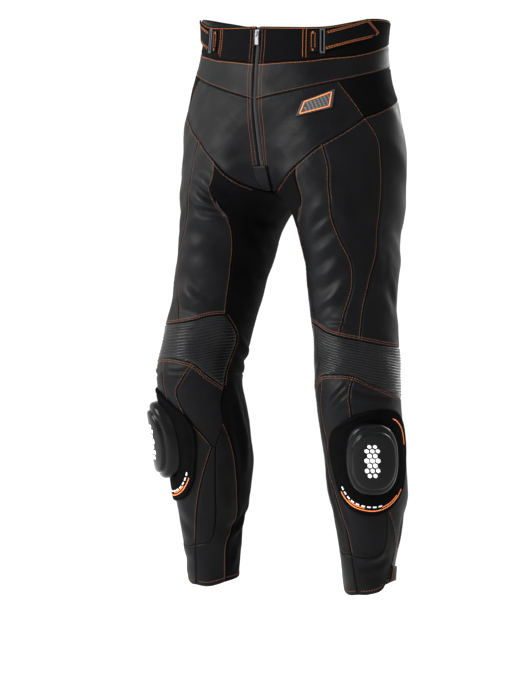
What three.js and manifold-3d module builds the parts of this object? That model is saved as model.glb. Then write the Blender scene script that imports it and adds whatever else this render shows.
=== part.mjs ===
// Leather motorcycle trousers, filled out with no wearer.
// Millimetres, +Z up. The front faces -Y and the wearer's left side is +X.
// The origin is the centre of the waist opening, level with the rim at the hips.
import * as THREE from 'three';
import { mergeVertices } from 'three/addons/utils/BufferGeometryUtils.js';
import Module from 'manifold-3d';

// ---- Driving sizes -------------------------------------------------------
const LEATHER = 1.4;          // thickness of a leather panel
const STRETCH = 1.2;          // thickness of a stretch fabric panel
const RIB_PANEL = 3.0;        // ribbed knee panel, leather folded over piping
const SEAM_GAP = 0.2;         // each piece stops this far from its seam line
const LIFT = 0.7;             // clearance under a piece that lies on a panel
const LEG_EASE = 0.025;       // one leg is filled out a little more than the other
const STANCE_ROLL = 0.085;    // rise of the wearer's right side for each mm across
const ROLL_FROM = -620;       // the roll is full above this height
const ROLL_TO = -950;         // and gone at this one
const HOLLOW_DEEP = 22;       // the front runs back this far under the fly
const HOLLOW_WIDE = 55;
const ZIP_HALF = 3.2;         // half of the slot that the fly zip fills
const PAD_THICK = 4.5;        // hook-and-loop base pad of the knee slider
const SLIDER_HEIGHT = 24;     // knee slider above its pad
const BADGE_THICK = 2.2;      // raised hip badge
const RIGHT = -1;             // wearer's right side
const LEFT = 1;               // wearer's left side
const RAD = Math.PI / 180;

// ---- Sections ------------------------------------------------------------
// One row a section of half the garment: its outer and inner edge across,
// the centre of its depth, and half its depth. Above the crotch the inner
// edge lies past the midline, and the section stops at the midline.
const sections = [
  { z: 10, outer: 173, inner: -173, centre: 0, depth: 112 },
  { z: -45, outer: 168, inner: -168, centre: -1, depth: 112 },
  { z: -95, outer: 177, inner: -177, centre: -5, depth: 115 },
  { z: -150, outer: 193, inner: -193, centre: -6, depth: 119 },
  { z: -205, outer: 203, inner: -184, centre: -6, depth: 122 },
  { z: -255, outer: 202, inner: -106, centre: -7, depth: 121 },
  { z: -300, outer: 198, inner: -6, centre: -10, depth: 113 },
  { z: -322, outer: 196, inner: 20, centre: -13, depth: 106 },
  { z: -345, outer: 194, inner: 33, centre: -16, depth: 99 },
  { z: -400, outer: 199, inner: 47, centre: -22, depth: 88 },
  { z: -470, outer: 203, inner: 61, centre: -34, depth: 77 },
  { z: -540, outer: 215, inner: 76, centre: -44, depth: 74 },
  { z: -610, outer: 222, inner: 85, centre: -55, depth: 74 },
  { z: -690, outer: 216, inner: 84, centre: -32, depth: 75 },
  { z: -770, outer: 214, inner: 89, centre: -19, depth: 72 },
  { z: -850, outer: 202, inner: 103, centre: -20, depth: 56 },
  { z: -910, outer: 193, inner: 109, centre: -18, depth: 47 },
  { z: -965, outer: 189, inner: 112, centre: -15, depth: 43 },
];

// Slope of one column at a row, from its neighbours.
function slope(key, i) {
  const a = sections[Math.max(i - 1, 0)];
  const b = sections[Math.min(i + 1, sections.length - 1)];
  return (b[key] - a[key]) / (b.z - a.z);
}

// Value of one column at any height, on a smooth curve through the rows.
function column(key, z) {
  const last = sections.length - 2;
  let i = 0;
  while (i < last && z < sections[i + 1].z) i += 1;
  const a = sections[i];
  const b = sections[i + 1];
  const h = b.z - a.z;
  const t = Math.min(Math.max((z - a.z) / h, 0), 1);
  const ends = (2 * t ** 3 - 3 * t ** 2 + 1) * a[key] + (3 * t ** 2 - 2 * t ** 3) * b[key];
  const start = (t ** 3 - 2 * t ** 2 + t) * h * slope(key, i);
  return ends + start + (t ** 3 - t ** 2) * h * slope(key, i + 1);
}

const clamp = (v, low, high) => Math.min(Math.max(v, low), high);

// Centre and half width of a section across.
function across(side, z) {
  const below = clamp((-315 - z) / 100, 0, 1);
  const ease = 1 - side * LEG_EASE * below;
  const centre = (column('outer', z) + column('inner', z)) / 2;
  const half = (column('outer', z) - column('inner', z)) / 2;
  return { centre, half: half * ease, ease };
}

// How far the front runs back under the fly, toward the crotch.
const eased = (t) => clamp(t, 0, 1) ** 2 * (3 - 2 * clamp(t, 0, 1));
function hollow(x, angle, z) {
  const down = eased((-130 - z) / 130) * (1 - eased((-300 - z) / 45));
  return HOLLOW_DEEP * Math.exp(-((x / HOLLOW_WIDE) ** 2)) * down * Math.max(Math.cos(angle * RAD), 0);
}

// A point of the outer face: angle 0 is the front, 90 the outer side, 180 the
// back and -90 the inner side.
function skin(side, angle, z) {
  const s = across(side, z);
  const x = side * (s.centre + s.half * Math.sin(angle * RAD));
  const y = column('centre', z) - s.ease * column('depth', z) * Math.cos(angle * RAD) + hollow(x, angle, z);
  const roll = STANCE_ROLL * clamp((z - ROLL_TO) / (ROLL_FROM - ROLL_TO), 0, 1);
  return new THREE.Vector3(x, y, z - roll * x);
}

// Outward direction of the outer face.
function outward(side, angle, z) {
  const du = skin(side, angle + 0.5, z).sub(skin(side, angle - 0.5, z));
  const dv = skin(side, angle, z + 0.5).sub(skin(side, angle, z - 0.5));
  return du.cross(dv).multiplyScalar(side).normalize();
}

// A point moved out of the skin by lift. Nothing crosses the midline.
function onSkin(side, angle, z, lift, keepOff = SEAM_GAP) {
  const p = skin(side, angle, z).addScaledVector(outward(side, angle, z), lift);
  p.x = side * Math.max(side * p.x, keepOff);
  return p;
}

// Angle at which a section meets the midline, at the front and at the back.
function midFront(z, off = 0) {
  const s = across(RIGHT, z);
  return -Math.asin(clamp((s.centre - off) / s.half, -1, 1)) / RAD;
}
const midBack = (z) => -180 - midFront(z);

const lengthOf = (a, b) => Math.hypot((b[0] - a[0]) * 1.4, b[1] - a[1]);

// A side cut into steps that keep each of its points.
function stepped(line, steps) {
  const share = line.slice(1).map((p, i) => ({ n: 1, length: lengthOf(line[i], p) }));
  for (let k = share.length; k < steps; k += 1) {
    const widest = share.reduce((a, b) => (b.length / b.n > a.length / a.n ? b : a));
    widest.n += 1;
  }
  const out = [line[0]];
  share.forEach((piece, i) => {
    for (let k = 1; k <= piece.n; k += 1) {
      const t = k / piece.n;
      const [a, b] = [line[i], line[i + 1]];
      out.push([a[0] + (b[0] - a[0]) * t, a[1] + (b[1] - a[1]) * t]);
    }
  });
  return out;
}

// ---- Seam lines ----------------------------------------------------------
// Each point is [angle, height]. The two sides share these lines.
const zipEdge = (z) => [midFront(z, ZIP_HALF), z];
const rimLine = [zipEdge(-26), [16, -26], [30, -25], [42, -22], [57, -13], [72, -4], [90, 0], [115, 0]];
const rimBack = [[115, 0], [135, -3], [157, -6], [180, -8]];
const bandLine = [zipEdge(-87), [16, -83], [30, -79], [42, -73], [57, -67], [72, -58], [90, -46],
  [115, -36]];
const bandBack = [[115, -36], [135, -40], [157, -45], [180, -48]];
const yokeLine = [zipEdge(-146), [24, -128], [48, -110], [72, -94], [95, -80], [115, -74]];
const yokeBack = [[115, -74], [137, -80], [158, -88], [180, -98]];
const hipFront = [[48, -110], [55, -138], [61, -165]];
const veeMiddle = [-34, -288];
const veeEnd = [midFront(-293), -293];
const veeLow = stepped([veeMiddle, [-17, -280], [0, -266], [13, -249], [34, -213], [48, -189],
  [61, -165]], 7);
const VEE_INSEAM = veeLow.findIndex((p) => p[0] === 13);
const VEE_FRONT = veeLow.findIndex((p) => p[0] === 34);
const VEE_OUTER = veeLow.length - 1;
const veeHigh = [[61, -165], [84, -144], [105, -131], [125, -126]];
const hipBack = [[115, -74], [125, -126]];
const seatEnd = [midBack(-292) + 360, -292];
const seatLine = stepped([[125, -126], [138, -175], [156, -228], [180, -262], [206, -282], seatEnd], 8);
const inseamFront = [[13, -249], [3, -279], [-8, -304], [-22, -324], [-36, -345], [-44, -380],
  [-47, -430], [-49, -470], [-52, -498]];
const seamFront = [[34, -213], [33, -255], [26, -290], [20, -325], [24, -360], [34, -400], [34, -436],
  [20, -485], [10, -518]];
const seamOuter = [[61, -165], [68, -195], [70, -230], [70, -300], [66, -376], [52, -441], [43, -490],
  [37, -522]];
const backOuter = [[125, -126], [128, -220], [128, -330], [127, -430], [126, -531]];
const backInner = [seatEnd, [240, -330], [230, -380], [225, -460], [227, -540]];
const ribTop = [[-52, -498], [-30, -503], [-12, -512], [10, -518], [37, -522], [80, -528], [126, -531]];
const ribBottom = [[-70, -618], [-46, -600], [-26, -583], [-5, -578], [28, -578], [50, -588], [73, -597],
  [100, -605], [127, -612]];
const ribInner = [[-52, -498], [-77, -538], [-75, -572], [-72, -592], [-70, -618]];
const ribOuter = [[126, -531], [127, -612]];
const kneeHollow = [[227, -540], [236, -596]];
const kneeInseam = [[-70, -618], [-61, -648], [-59, -676], [-52, -696], [-44, -715]];
const leafLine = {
  [RIGHT]: [[-26, -583], [-12, -612], [-2, -633], [-5, -652], [-12, -675], [-26, -694], [-40, -715]],
  [LEFT]: [[-26, -583], [-27, -602], [-33, -618], [-33, -640], [-30, -668], [-28, -694], [-40, -715]],
};
const shinSeam = [[-40, -715], [-28, -753], [-17, -794], [-8, -845], [-2, -877]];
const shinPocket = [[-44, -715], [-42, -786], [-44, -836], [-41, -858], [-33, -872]];
const kneeOuter = [[28, -578], [22, -603], [22, -642], [30, -700], [42, -748]];
const pocketEdge = [[56, -790], [64, -812], [66, -834], [64, -859], [57, -871], [38, -878], [14, -879],
  [-2, -877]];
const calfOuter = [[60, -793], [72, -815], [86, -843], [94, -866], [89, -890], [76, -926], [36, -941],
  [7, -942]];
const backCalf = [[127, -612], [131, -700], [138, -790], [142, -860], [140, -922]];
const inseamCalf = [[-59, -676], [-64, -693], [-69, -722], [-74, -762], [-80, -802], [-84, -830],
  [-78, -850], [-68, -870], [-66, -937]];
const hemFront = [[-66, -937], [-20, -944], [7, -942]];
const hemOuter = [[76, -926], [95, -923], [115, -922], [140, -922]];
const hemBack = [[140, -922], [170, -924], [200, -927], [230, -930], [260, -933], [294, -937]];

const turned = (line, by) => line.map(([angle, z]) => [angle + by, z]);

// The stretch of a line between two of its points, counted from 0.
const stretch = (line, from, to) => line.slice(from, to + 1);

// Lines put end to end, with the shared points kept once.
function joined(...lines) {
  const out = [...lines[0]];
  for (const line of lines.slice(1)) {
    const [a, b] = [out[out.length - 1], line[0]];
    const same = Math.abs(a[0] - b[0]) < 0.01 && Math.abs(a[1] - b[1]) < 0.01;
    out.push(...line.slice(same ? 1 : 0));
  }
  return out;
}

// ---- Cloth panels --------------------------------------------------------
// A four-sided patch between its seam lines. top and bottom run the same way,
// left and right run from top to bottom.
function patch(side, { top, bottom, left, right, columns, rows }) {
  const nu = Math.max(columns, top.length - 1, bottom.length - 1);
  const nv = Math.max(rows, left.length - 1, right.length - 1);
  const [t, b] = [stepped(top, nu), stepped(bottom, nu)];
  const [l, r] = [stepped(left, nv), stepped(right, nv)];
  const grid = [];
  for (let j = 0; j <= nv; j += 1) {
    const v = j / nv;
    grid.push([]);
    for (let i = 0; i <= nu; i += 1) {
      const u = i / nu;
      const mix = (k) => (1 - v) * t[i][k] + v * b[i][k] + (1 - u) * l[j][k] + u * r[j][k]
        - (1 - u) * (1 - v) * t[0][k] - u * (1 - v) * t[nu][k]
        - (1 - u) * v * b[0][k] - u * v * b[nu][k];
      grid[j].push([mix(0), mix(1)]);
    }
  }
  return inset(side, grid);
}

// The grid with its border drawn in from the seam lines by the seam gap.
function inset(side, grid) {
  const nv = grid.length - 1;
  const nu = grid[0].length - 1;
  const wide = (p) => skin(side, p[0] + 0.5, p[1]).distanceTo(skin(side, p[0] - 0.5, p[1]));
  const border = [];
  for (let i = 0; i < nu; i += 1) border.push([0, i]);
  for (let j = 0; j < nv; j += 1) border.push([j, nu]);
  for (let i = nu; i > 0; i -= 1) border.push([nv, i]);
  for (let j = nv; j > 0; j -= 1) border.push([j, 0]);
  const flat = border.map(([j, i]) => {
    const [angle, z] = grid[j][i];
    return { angle, z, wide: wide([angle, z]) };
  });
  const n = flat.length;
  let area = 0;
  flat.forEach((p, k) => {
    const q = flat[(k + 1) % n];
    area += (p.angle * q.z - q.angle * p.z) / 2;
  });
  const turn = Math.sign(area);
  const moved = flat.map((p, k) => {
    const [a, b] = [flat[(k + n - 1) % n], flat[(k + 1) % n]];
    const normal = (from, to) => {
      const [du, dz] = [(to.angle - from.angle) * p.wide, to.z - from.z];
      const d = Math.hypot(du, dz) || 1;
      return [(-turn * dz) / d, (turn * du) / d];
    };
    const [m, q] = [normal(a, p), normal(p, b)];
    const share = Math.max(1 + m[0] * q[0] + m[1] * q[1], 0.5);
    const [du, dz] = [((m[0] + q[0]) * SEAM_GAP) / share, ((m[1] + q[1]) * SEAM_GAP) / share];
    return [p.angle + du / p.wide, p.z + dz];
  });
  border.forEach(([j, i], k) => {
    grid[j][i] = moved[k];
  });
  return grid;
}

// A closed solid between two grids of points of the same shape.
function shell(outer, inner) {
  const nv = outer.length;
  const nu = outer[0].length;
  const points = [...outer.flat(), ...inner.flat()];
  const index = [];
  const quad = (a, b, c, d) => index.push(a, b, c, a, c, d);
  const at = (j, i, layer) => layer * nu * nv + j * nu + i;
  for (let j = 0; j < nv - 1; j += 1) {
    for (let i = 0; i < nu - 1; i += 1) {
      quad(at(j, i, 0), at(j + 1, i, 0), at(j + 1, i + 1, 0), at(j, i + 1, 0));
      quad(at(j, i, 1), at(j, i + 1, 1), at(j + 1, i + 1, 1), at(j + 1, i, 1));
    }
  }
  for (let i = 0; i < nu - 1; i += 1) {
    quad(at(0, i, 0), at(0, i + 1, 0), at(0, i + 1, 1), at(0, i, 1));
    quad(at(nv - 1, i + 1, 0), at(nv - 1, i, 0), at(nv - 1, i, 1), at(nv - 1, i + 1, 1));
  }
  for (let j = 0; j < nv - 1; j += 1) {
    quad(at(j + 1, 0, 0), at(j, 0, 0), at(j, 0, 1), at(j + 1, 0, 1));
    quad(at(j, nu - 1, 0), at(j + 1, nu - 1, 0), at(j + 1, nu - 1, 1), at(j, nu - 1, 1));
  }
  return solid(points, index);
}

// A mesh geometry from points and triangles, with its faces pointing out.
function solid(points, index) {
  let volume = 0;
  for (let k = 0; k < index.length; k += 3) {
    const [a, b, c] = [points[index[k]], points[index[k + 1]], points[index[k + 2]]];
    volume += a.dot(new THREE.Vector3().crossVectors(b, c)) / 6;
  }
  if (volume < 0) index.reverse();
  const geometry = new THREE.BufferGeometry();
  const corners = points.flatMap((p) => p.toArray());
  geometry.setAttribute('position', new THREE.Float32BufferAttribute(corners, 3));
  geometry.setIndex(index);
  return geometry;
}

// The wall of one panel: its outer face is the skin, its inner face lies within.
function wall(side, grid, thick, lift = 0) {
  const face = (at) => grid.map((row) => row.map(([angle, z]) => onSkin(side, angle, z, at)));
  return shell(face(lift), face(lift - thick));
}

// ---- Finishes ------------------------------------------------------------
const finish = (color, roughness, metalness = 0) =>
  new THREE.MeshStandardMaterial({ color, roughness, metalness });
const finishes = {
  leather: () => finish('#26272a', 0.48),
  stretch: () => finish('#0b0b0d', 0.9),
  webbing: () => finish('#111214', 0.8),
  rubber: () => finish('#141415', 0.7),
  plastic: () => finish('#1c1d1f', 0.35),
  metal: () => finish('#6d6f72', 0.4, 0.9),
};

const trousers = new THREE.Group();
function add(name, geometry, look) {
  const mesh = new THREE.Mesh(geometry, finishes[look]());
  mesh.name = name;
  trousers.add(mesh);
  return mesh;
}

// ---- Cloth pieces of one side --------------------------------------------
const midway = (a, b, t) => [a[0] + (b[0] - a[0]) * t, a[1] + (b[1] - a[1]) * t];
const upright = (from, to, steps, angleAt) => Array.from({ length: steps + 1 }, (_, k) => {
  const z = from + ((to - from) * k) / steps;
  return [angleAt(z), z];
});
const zipFoot = [0.9, 0.7, 0.5, 0.3, 0.15, 0.05, 0.01].map((t) => midway(veeMiddle, veeEnd, t))
  .find(([angle, z]) => skin(LEFT, angle, z).x > ZIP_HALF);
const zipSide = [...upright(-146, -266, 6, (z) => zipEdge(z)[0]), zipFoot];
const SEAT_CORNER = 4;
const seatMiddle = upright(-98, -292, 5, (z) => midBack(z) + 360);
const CROTCH = -304.5;        // height where the two legs part
const crotchTop = joined(
  [...stretch(veeLow, 0, VEE_INSEAM)].reverse(),
  upright(-293, CROTCH, 3, (z) => midFront(z)),
  upright(CROTCH, -292, 3, (z) => midBack(z)),
);
const kneeFront = (side) => joined(leafLine[side], shinSeam);
const inseamBack = joined([[288, -592]], turned([ribInner[4], ...kneeInseam.slice(1, 3)], 360));

const hipPanels = () => ({
  waistband_front: { look: 'stretch', columns: 2, rows: 2,
    top: stretch(rimLine, 0, 2), bottom: stretch(bandLine, 0, 2),
    left: [rimLine[0], bandLine[0]], right: [rimLine[2], bandLine[2]] },
  waistband_side: { look: 'stretch', columns: 8, rows: 2,
    top: stretch(rimLine, 2, 7), bottom: stretch(bandLine, 2, 7),
    left: [rimLine[2], bandLine[2]], right: [rimLine[7], bandLine[7]] },
  yoke: { look: 'leather', columns: 8, rows: 2,
    top: bandLine, bottom: yokeLine,
    left: [bandLine[0], yokeLine[0]], right: [bandLine[7], yokeLine[5]] },
  hip_front: { look: 'leather', columns: 8, rows: 7,
    top: stretch(yokeLine, 0, 2), bottom: [zipFoot, ...veeLow],
    left: zipSide, right: hipFront },
  hip_side: { look: 'stretch', columns: 4, rows: 3,
    top: stretch(yokeLine, 2, 5), bottom: veeHigh, left: hipFront, right: hipBack },
  seat: { look: 'leather', columns: 4, rows: 5,
    top: yokeBack, bottom: stretch(seatLine, SEAT_CORNER, 8),
    left: joined(hipBack, stretch(seatLine, 0, SEAT_CORNER)), right: seatMiddle },
});

const legPanels = (side) => ({
  inner_thigh: { look: 'stretch', columns: 8, rows: 10,
    top: crotchTop, bottom: [[-72, -592], [-124, -596]],
    left: joined(inseamFront, stretch(ribInner, 0, 3)),
    right: turned(joined(backInner, kneeHollow), -360) },
  thigh_front: { look: 'leather', columns: 3, rows: 8,
    top: stretch(veeLow, VEE_INSEAM, VEE_FRONT), bottom: stretch(ribTop, 0, 3),
    left: inseamFront, right: seamFront },
  thigh_mid: { look: 'leather', columns: 3, rows: 8,
    top: stretch(veeLow, VEE_FRONT, VEE_OUTER), bottom: stretch(ribTop, 3, 4),
    left: seamFront, right: seamOuter },
  thigh_outer: { look: 'leather', columns: 5, rows: 8,
    top: veeHigh, bottom: stretch(ribTop, 4, 6), left: seamOuter, right: backOuter },
  thigh_back: { look: 'leather', columns: 8, rows: 7,
    top: seatLine, bottom: [[126, -531], [227, -540]], left: backOuter, right: backInner },
  knee_ribs: { look: 'stretch', columns: 13, rows: 4, thick: RIB_PANEL,
    top: ribTop, bottom: ribBottom, left: ribInner, right: ribOuter },
  knee_back: { look: 'stretch', columns: 8, rows: 3,
    top: [[126, -531], [227, -540]], bottom: [[127, -612], [236, -596]],
    left: ribOuter, right: kneeHollow },
  knee_inner: { look: 'leather', columns: 3, rows: 6,
    top: stretch(ribBottom, 0, 2), bottom: [[-44, -715], [-40, -715]],
    left: kneeInseam, right: leafLine[side] },
  shin_front: { look: 'leather', columns: 5, rows: 12,
    top: stretch(ribBottom, 2, 4), bottom: stretch(pocketEdge, 4, 7).reverse(),
    left: kneeFront(side), right: joined(kneeOuter, stretch(pocketEdge, 0, 4)) },
  shin_inner: { look: 'leather', columns: 2, rows: 6,
    top: [[-44, -715], [-40, -715]], bottom: [[-33, -872], [-2, -877]], left: shinPocket, right: shinSeam },
  cuff_inner: { look: 'leather', columns: 2, rows: 10,
    top: stretch(kneeInseam, 2, 4), bottom: [[7, -942], [-2, -877]],
    left: joined(inseamCalf, hemFront), right: joined(shinPocket, [[-2, -877]]) },
  cuff_front: { look: 'leather', columns: 3, rows: 10,
    top: [[56, -790], [60, -793]], bottom: [[-2, -877], [7, -942]], left: pocketEdge, right: calfOuter },
  calf_outer: { look: 'leather', columns: 6, rows: 11,
    top: stretch(ribBottom, 4, 8), bottom: hemOuter,
    left: joined(kneeOuter, stretch(calfOuter, 0, 5)), right: backCalf },
  calf_back: { look: 'stretch', columns: 9, rows: 11,
    top: [[127, -612], [236, -596], [288, -592]], bottom: hemBack,
    left: backCalf, right: joined(inseamBack, turned(inseamCalf, 360)) },
});

const suffix = { [RIGHT]: '_r', [LEFT]: '_l' };
for (const side of [RIGHT, LEFT]) {
  for (const [name, piece] of Object.entries({ ...hipPanels(), ...legPanels(side) })) {
    const thick = piece.thick ?? (piece.look === 'leather' ? LEATHER : STRETCH);
    add(name + suffix[side], wall(side, patch(side, piece), thick), piece.look);
  }
}

// ---- Pieces that cross the back ------------------------------------------
function backPiece(name, look, top, bottom) {
  const last = top.length - 1;
  const grid = patch(LEFT, { top, bottom, columns: 6, rows: 2,
    left: [top[0], bottom[0]], right: [top[last], bottom[bottom.length - 1]] });
  const face = (lift) => grid.map((row) => {
    const half = (side) => row.slice(0, -1).map(([angle, z]) => onSkin(side, angle, z, lift));
    const middle = onSkin(LEFT, 180, row[row.length - 1][1], lift, 0);
    return [...half(LEFT), middle, ...half(RIGHT).reverse()];
  });
  add(name, shell(face(0), face(-LEATHER)), look);
}
backPiece('waistband_back', 'stretch', rimBack, bandBack);
backPiece('yoke_back', 'leather', bandBack, yokeBack);

// ---- Knee pads and sliders -----------------------------------------------
const KNEE_ANGLE = 42;        // middle of the knee slider, round from the front
const KNEE_HEIGHT = -709;
const PAD_MIDDLE = -716;      // height of the middle of the pad under it
const KNEE_RADIUS = 76;       // of the leg under it
const padOutline = [[42, -633], [66, -628], [88, -630], [102, -646], [107, -682], [98, -728], [85, -770],
  [66, -796], [48, -806], [24, -806], [6, -798], [-9, -776], [-15, -748], [-18, -720], [-18, -695],
  [-11, -671], [6, -655], [24, -642], [42, -633]];

// A solid on the skin inside a closed outline. rings gives each ring's share
// of the outline and its height above the skin. A tall one keeps its width.
function domed(side, centre, outline, rings, base, keepWidth) {
  const count = outline.length;
  const at = (share, lift, k) => {
    const narrow = keepWidth ? KNEE_RADIUS / (KNEE_RADIUS + lift) : 1;
    const angle = centre[0] + (outline[k][0] - centre[0]) * share * narrow;
    return onSkin(side, angle, centre[1] + (outline[k][1] - centre[1]) * share, lift);
  };
  const under = [...rings].reverse().map(({ share }) => ({ share, lift: base }));
  const loops = [...under, ...rings];
  const points = loops.flatMap(({ share, lift }) => outline.map((_, k) => at(share, lift, k)));
  const index = [];
  for (let n = 0; n < loops.length - 1; n += 1) {
    for (let k = 0; k < count; k += 1) {
      const next = (k + 1) % count;
      const [a, b] = [n * count + k, n * count + next];
      index.push(a, b, b + count, a, b + count, a + count);
    }
  }
  const cap = (first, lift, order) => {
    const middle = points.length;
    points.push(onSkin(side, centre[0], centre[1], lift));
    for (let k = 0; k < count; k += 1) {
      const pair = [first + k, first + ((k + 1) % count)];
      index.push(middle, pair[order], pair[1 - order]);
    }
  };
  cap(0, base, 1);
  cap((loops.length - 1) * count, rings[rings.length - 1].lift, 0);
  return solid(points, index);
}

// Outline of the slider: a rounded, leaning oval on the unrolled knee.
const SLIDER_HALF_WIDTH = 49;
const SLIDER_HALF_HEIGHT = 61;
const SLIDER_LEAN = 0.12;
const sliderOutline = Array.from({ length: 24 }, (_, k) => {
  const turn = (k / 24) * 2 * Math.PI;
  const round = (v) => Math.sign(v) * Math.abs(v) ** 0.8;
  const up = SLIDER_HALF_HEIGHT * round(Math.sin(turn));
  const out = SLIDER_HALF_WIDTH * round(Math.cos(turn)) + SLIDER_LEAN * up;
  return [KNEE_ANGLE + out / KNEE_RADIUS / RAD, KNEE_HEIGHT + up];
});
const padShape = stepped(padOutline, 30).slice(0, -1);
const padBase = LIFT + 0.6;
const padTop = padBase + PAD_THICK;
const padRings = [{ share: 1, lift: padTop - 1.5 }, ...[0.93, 0.76, 0.58, 0.4, 0.2].map((share) => ({ share,
  lift: padTop }))];
const sliderBase = padTop + 0.9;
const sliderRings = [{ share: 1, lift: sliderBase + 10 }, { share: 0.93, lift: sliderBase + 14 },
  { share: 0.82, lift: sliderBase + 17 }, { share: 0.74, lift: sliderBase + SLIDER_HEIGHT - 3 },
  { share: 0.45, lift: sliderBase + SLIDER_HEIGHT - 1 }, { share: 0.2, lift: sliderBase + SLIDER_HEIGHT }];
for (const side of [RIGHT, LEFT]) {
  const centre = [KNEE_ANGLE, KNEE_HEIGHT];
  add('knee_pad' + suffix[side],
    domed(side, [KNEE_ANGLE, PAD_MIDDLE], padShape, padRings, padBase, false), 'webbing');
  add('knee_slider' + suffix[side],
    domed(side, centre, sliderOutline, sliderRings, sliderBase, true), 'plastic');
}

// ---- Pieces that lie on the panels ---------------------------------------
// A flap between four corners or seam lines, moved out from the panel.
function flap(name, side, piece, thick, look, lift = LIFT) {
  add(name, wall(side, patch(side, piece), thick, lift + thick), look);
}

for (const side of [RIGHT, LEFT]) {
  flap('ankle_tab' + suffix[side], side, { columns: 4, rows: 2, top: [[90, -893], [124, -896]],
    bottom: [[86, -920], [125, -921]], left: [[90, -893], [86, -920]], right: [[124, -896], [125, -921]] },
  2.4, 'leather');
}
flap('hip_badge', LEFT, { columns: 4, rows: 4,
  top: [[26, -147], [45, -124]], bottom: [[22, -172], [42, -154]],
  left: [[26, -147], [22, -172]], right: [[45, -124], [42, -154]] }, BADGE_THICK, 'rubber');

// ---- Waist adjusters -----------------------------------------------------
const RING_ANGLE = 39.5;
const RING_WIDE = 8;
const RING_TALL = 40;
const RING_BAR = 2.2;
const BAND_MIDDLE = -47;      // height of the ring's middle
const STRAP_THICK = 2.4;
const RING_LIFT = LIFT + 0.6; // the ring and the strap lie a little farther out

// Places a flat shape, drawn across and up, on the skin.
function placed(geometry, side, angle, z, lift) {
  const out = outward(side, angle, z);
  const up = new THREE.Vector3(0, 0, 1).addScaledVector(out, -out.z).normalize();
  const acrossSkin = new THREE.Vector3().crossVectors(up, out);
  const place = new THREE.Matrix4().makeBasis(acrossSkin, up, out);
  place.setPosition(onSkin(side, angle, z, lift));
  return geometry.applyMatrix4(place);
}

function rectangle(half, tall, path = new THREE.Shape()) {
  path.moveTo(-half, -tall);
  path.lineTo(half, -tall);
  path.lineTo(half, tall);
  path.lineTo(-half, tall);
  path.closePath();
  return path;
}

for (const side of [RIGHT, LEFT]) {
  const ring = rectangle(RING_WIDE / 2, RING_TALL / 2);
  ring.holes.push(rectangle(RING_WIDE / 2 - RING_BAR, RING_TALL / 2 - RING_BAR, new THREE.Path()));
  const frame = new THREE.ExtrudeGeometry(ring, { depth: RING_BAR, bevelEnabled: false });
  add('waist_ring' + suffix[side], placed(frame, side, RING_ANGLE, BAND_MIDDLE, RING_LIFT), 'plastic');
  flap('waist_strap' + suffix[side], side, { columns: 8, rows: 3,
    top: [[41.5, -30], [56, -17], [70, -4]], bottom: [[41.5, -63], [58, -48], [78, -33]],
    left: [[41.5, -30], [41.5, -63]], right: [[70, -4], [82.5, -23], [78, -33]] },
  STRAP_THICK, 'webbing', RING_LIFT);
  flap('ring_loop' + suffix[side], side, { columns: 2, rows: 2,
    top: [[32, -31], [37.6, -30]], bottom: [[32, -66], [37.6, -66]],
    left: [[32, -31], [32, -66]], right: [[37.6, -30], [37.6, -66]] }, STRAP_THICK, 'webbing');
}

// ---- Fly -----------------------------------------------------------------
const ZIP_TOP = -27;
const ZIP_FOOT = -284;
const TAB_HALF = 14;
const front = (side, z, half, outBy) => {
  const p = skin(side, midFront(z, half), z);
  return new THREE.Vector3(side * half, p.y - outBy, z);
};
const heights = (from, to, steps) => upright(from, to, steps, () => 0).map((p) => p[1]);
const zipRow = (outBy) => heights(ZIP_TOP, ZIP_FOOT, 16).map((z) => [
  front(RIGHT, z, ZIP_HALF - 0.35, outBy), front(LEFT, z, ZIP_HALF - 0.35, outBy)]);
add('fly_zip', shell(zipRow(-0.2), zipRow(-2.4)), 'webbing');

// Height and half width of the pointed tab that closes the foot of the fly.
const tabRows = [{ z: -252, half: TAB_HALF - 1 }, { z: -261, half: TAB_HALF },
  { z: -271, half: TAB_HALF - 0.5 },
  { z: -281, half: TAB_HALF - 3.5 }, { z: -290, half: 6 }];
const tabFace = (outBy) => tabRows.map(({ z, half }) => [-1, -0.34, 0.34, 1].map((share) => {
  const p = front(LEFT, z, TAB_HALF, outBy);
  return new THREE.Vector3(half * share, p.y, z);
}));
add('fly_tab', shell(tabFace(LIFT + 2.6), tabFace(LIFT + 0.4)), 'leather');

// Zip slider with its bridge, and the pull that hangs on the bridge.
const SLIDER_MIDDLE = -38;
const SLIDER_WIDE = 7;
const SLIDER_TALL = 12;
const SLIDER_THICK = 2.2;
const BRIDGE_WIDE = 2.6;
const BRIDGE_BAR = 1.1;
const EYE_DEEP = 2;           // room under the bridge, out from the slider
const EYE_TALL = 4.4;         // and up and down
const PULL_WIDE = 6.4;
const PULL_LONG = 19;
const PULL_THICK = 1.2;
const PULL_WINDOW = 4.6;
const PULL_SLOT = BRIDGE_WIDE + 0.8;

// A plate drawn across and up, given its thickness along Y from its back.
function plate(shape, thick, backY, z) {
  const geometry = new THREE.ExtrudeGeometry(shape, { depth: thick, bevelEnabled: false });
  geometry.rotateX(Math.PI / 2);
  return geometry.translate(0, backY, z);
}

const wasm = await Module();
wasm.setup();

// A closed three.js geometry as a solid that can be joined.
function asSolid(geometry) {
  const bare = geometry.clone();
  bare.deleteAttribute('normal');
  bare.deleteAttribute('uv');
  const merged = mergeVertices(bare, 1e-4);
  return new wasm.Manifold(new wasm.Mesh({
    numProp: 3,
    vertProperties: Float32Array.from(merged.attributes.position.array),
    triVerts: Uint32Array.from(merged.index.array),
  }));
}

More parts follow.
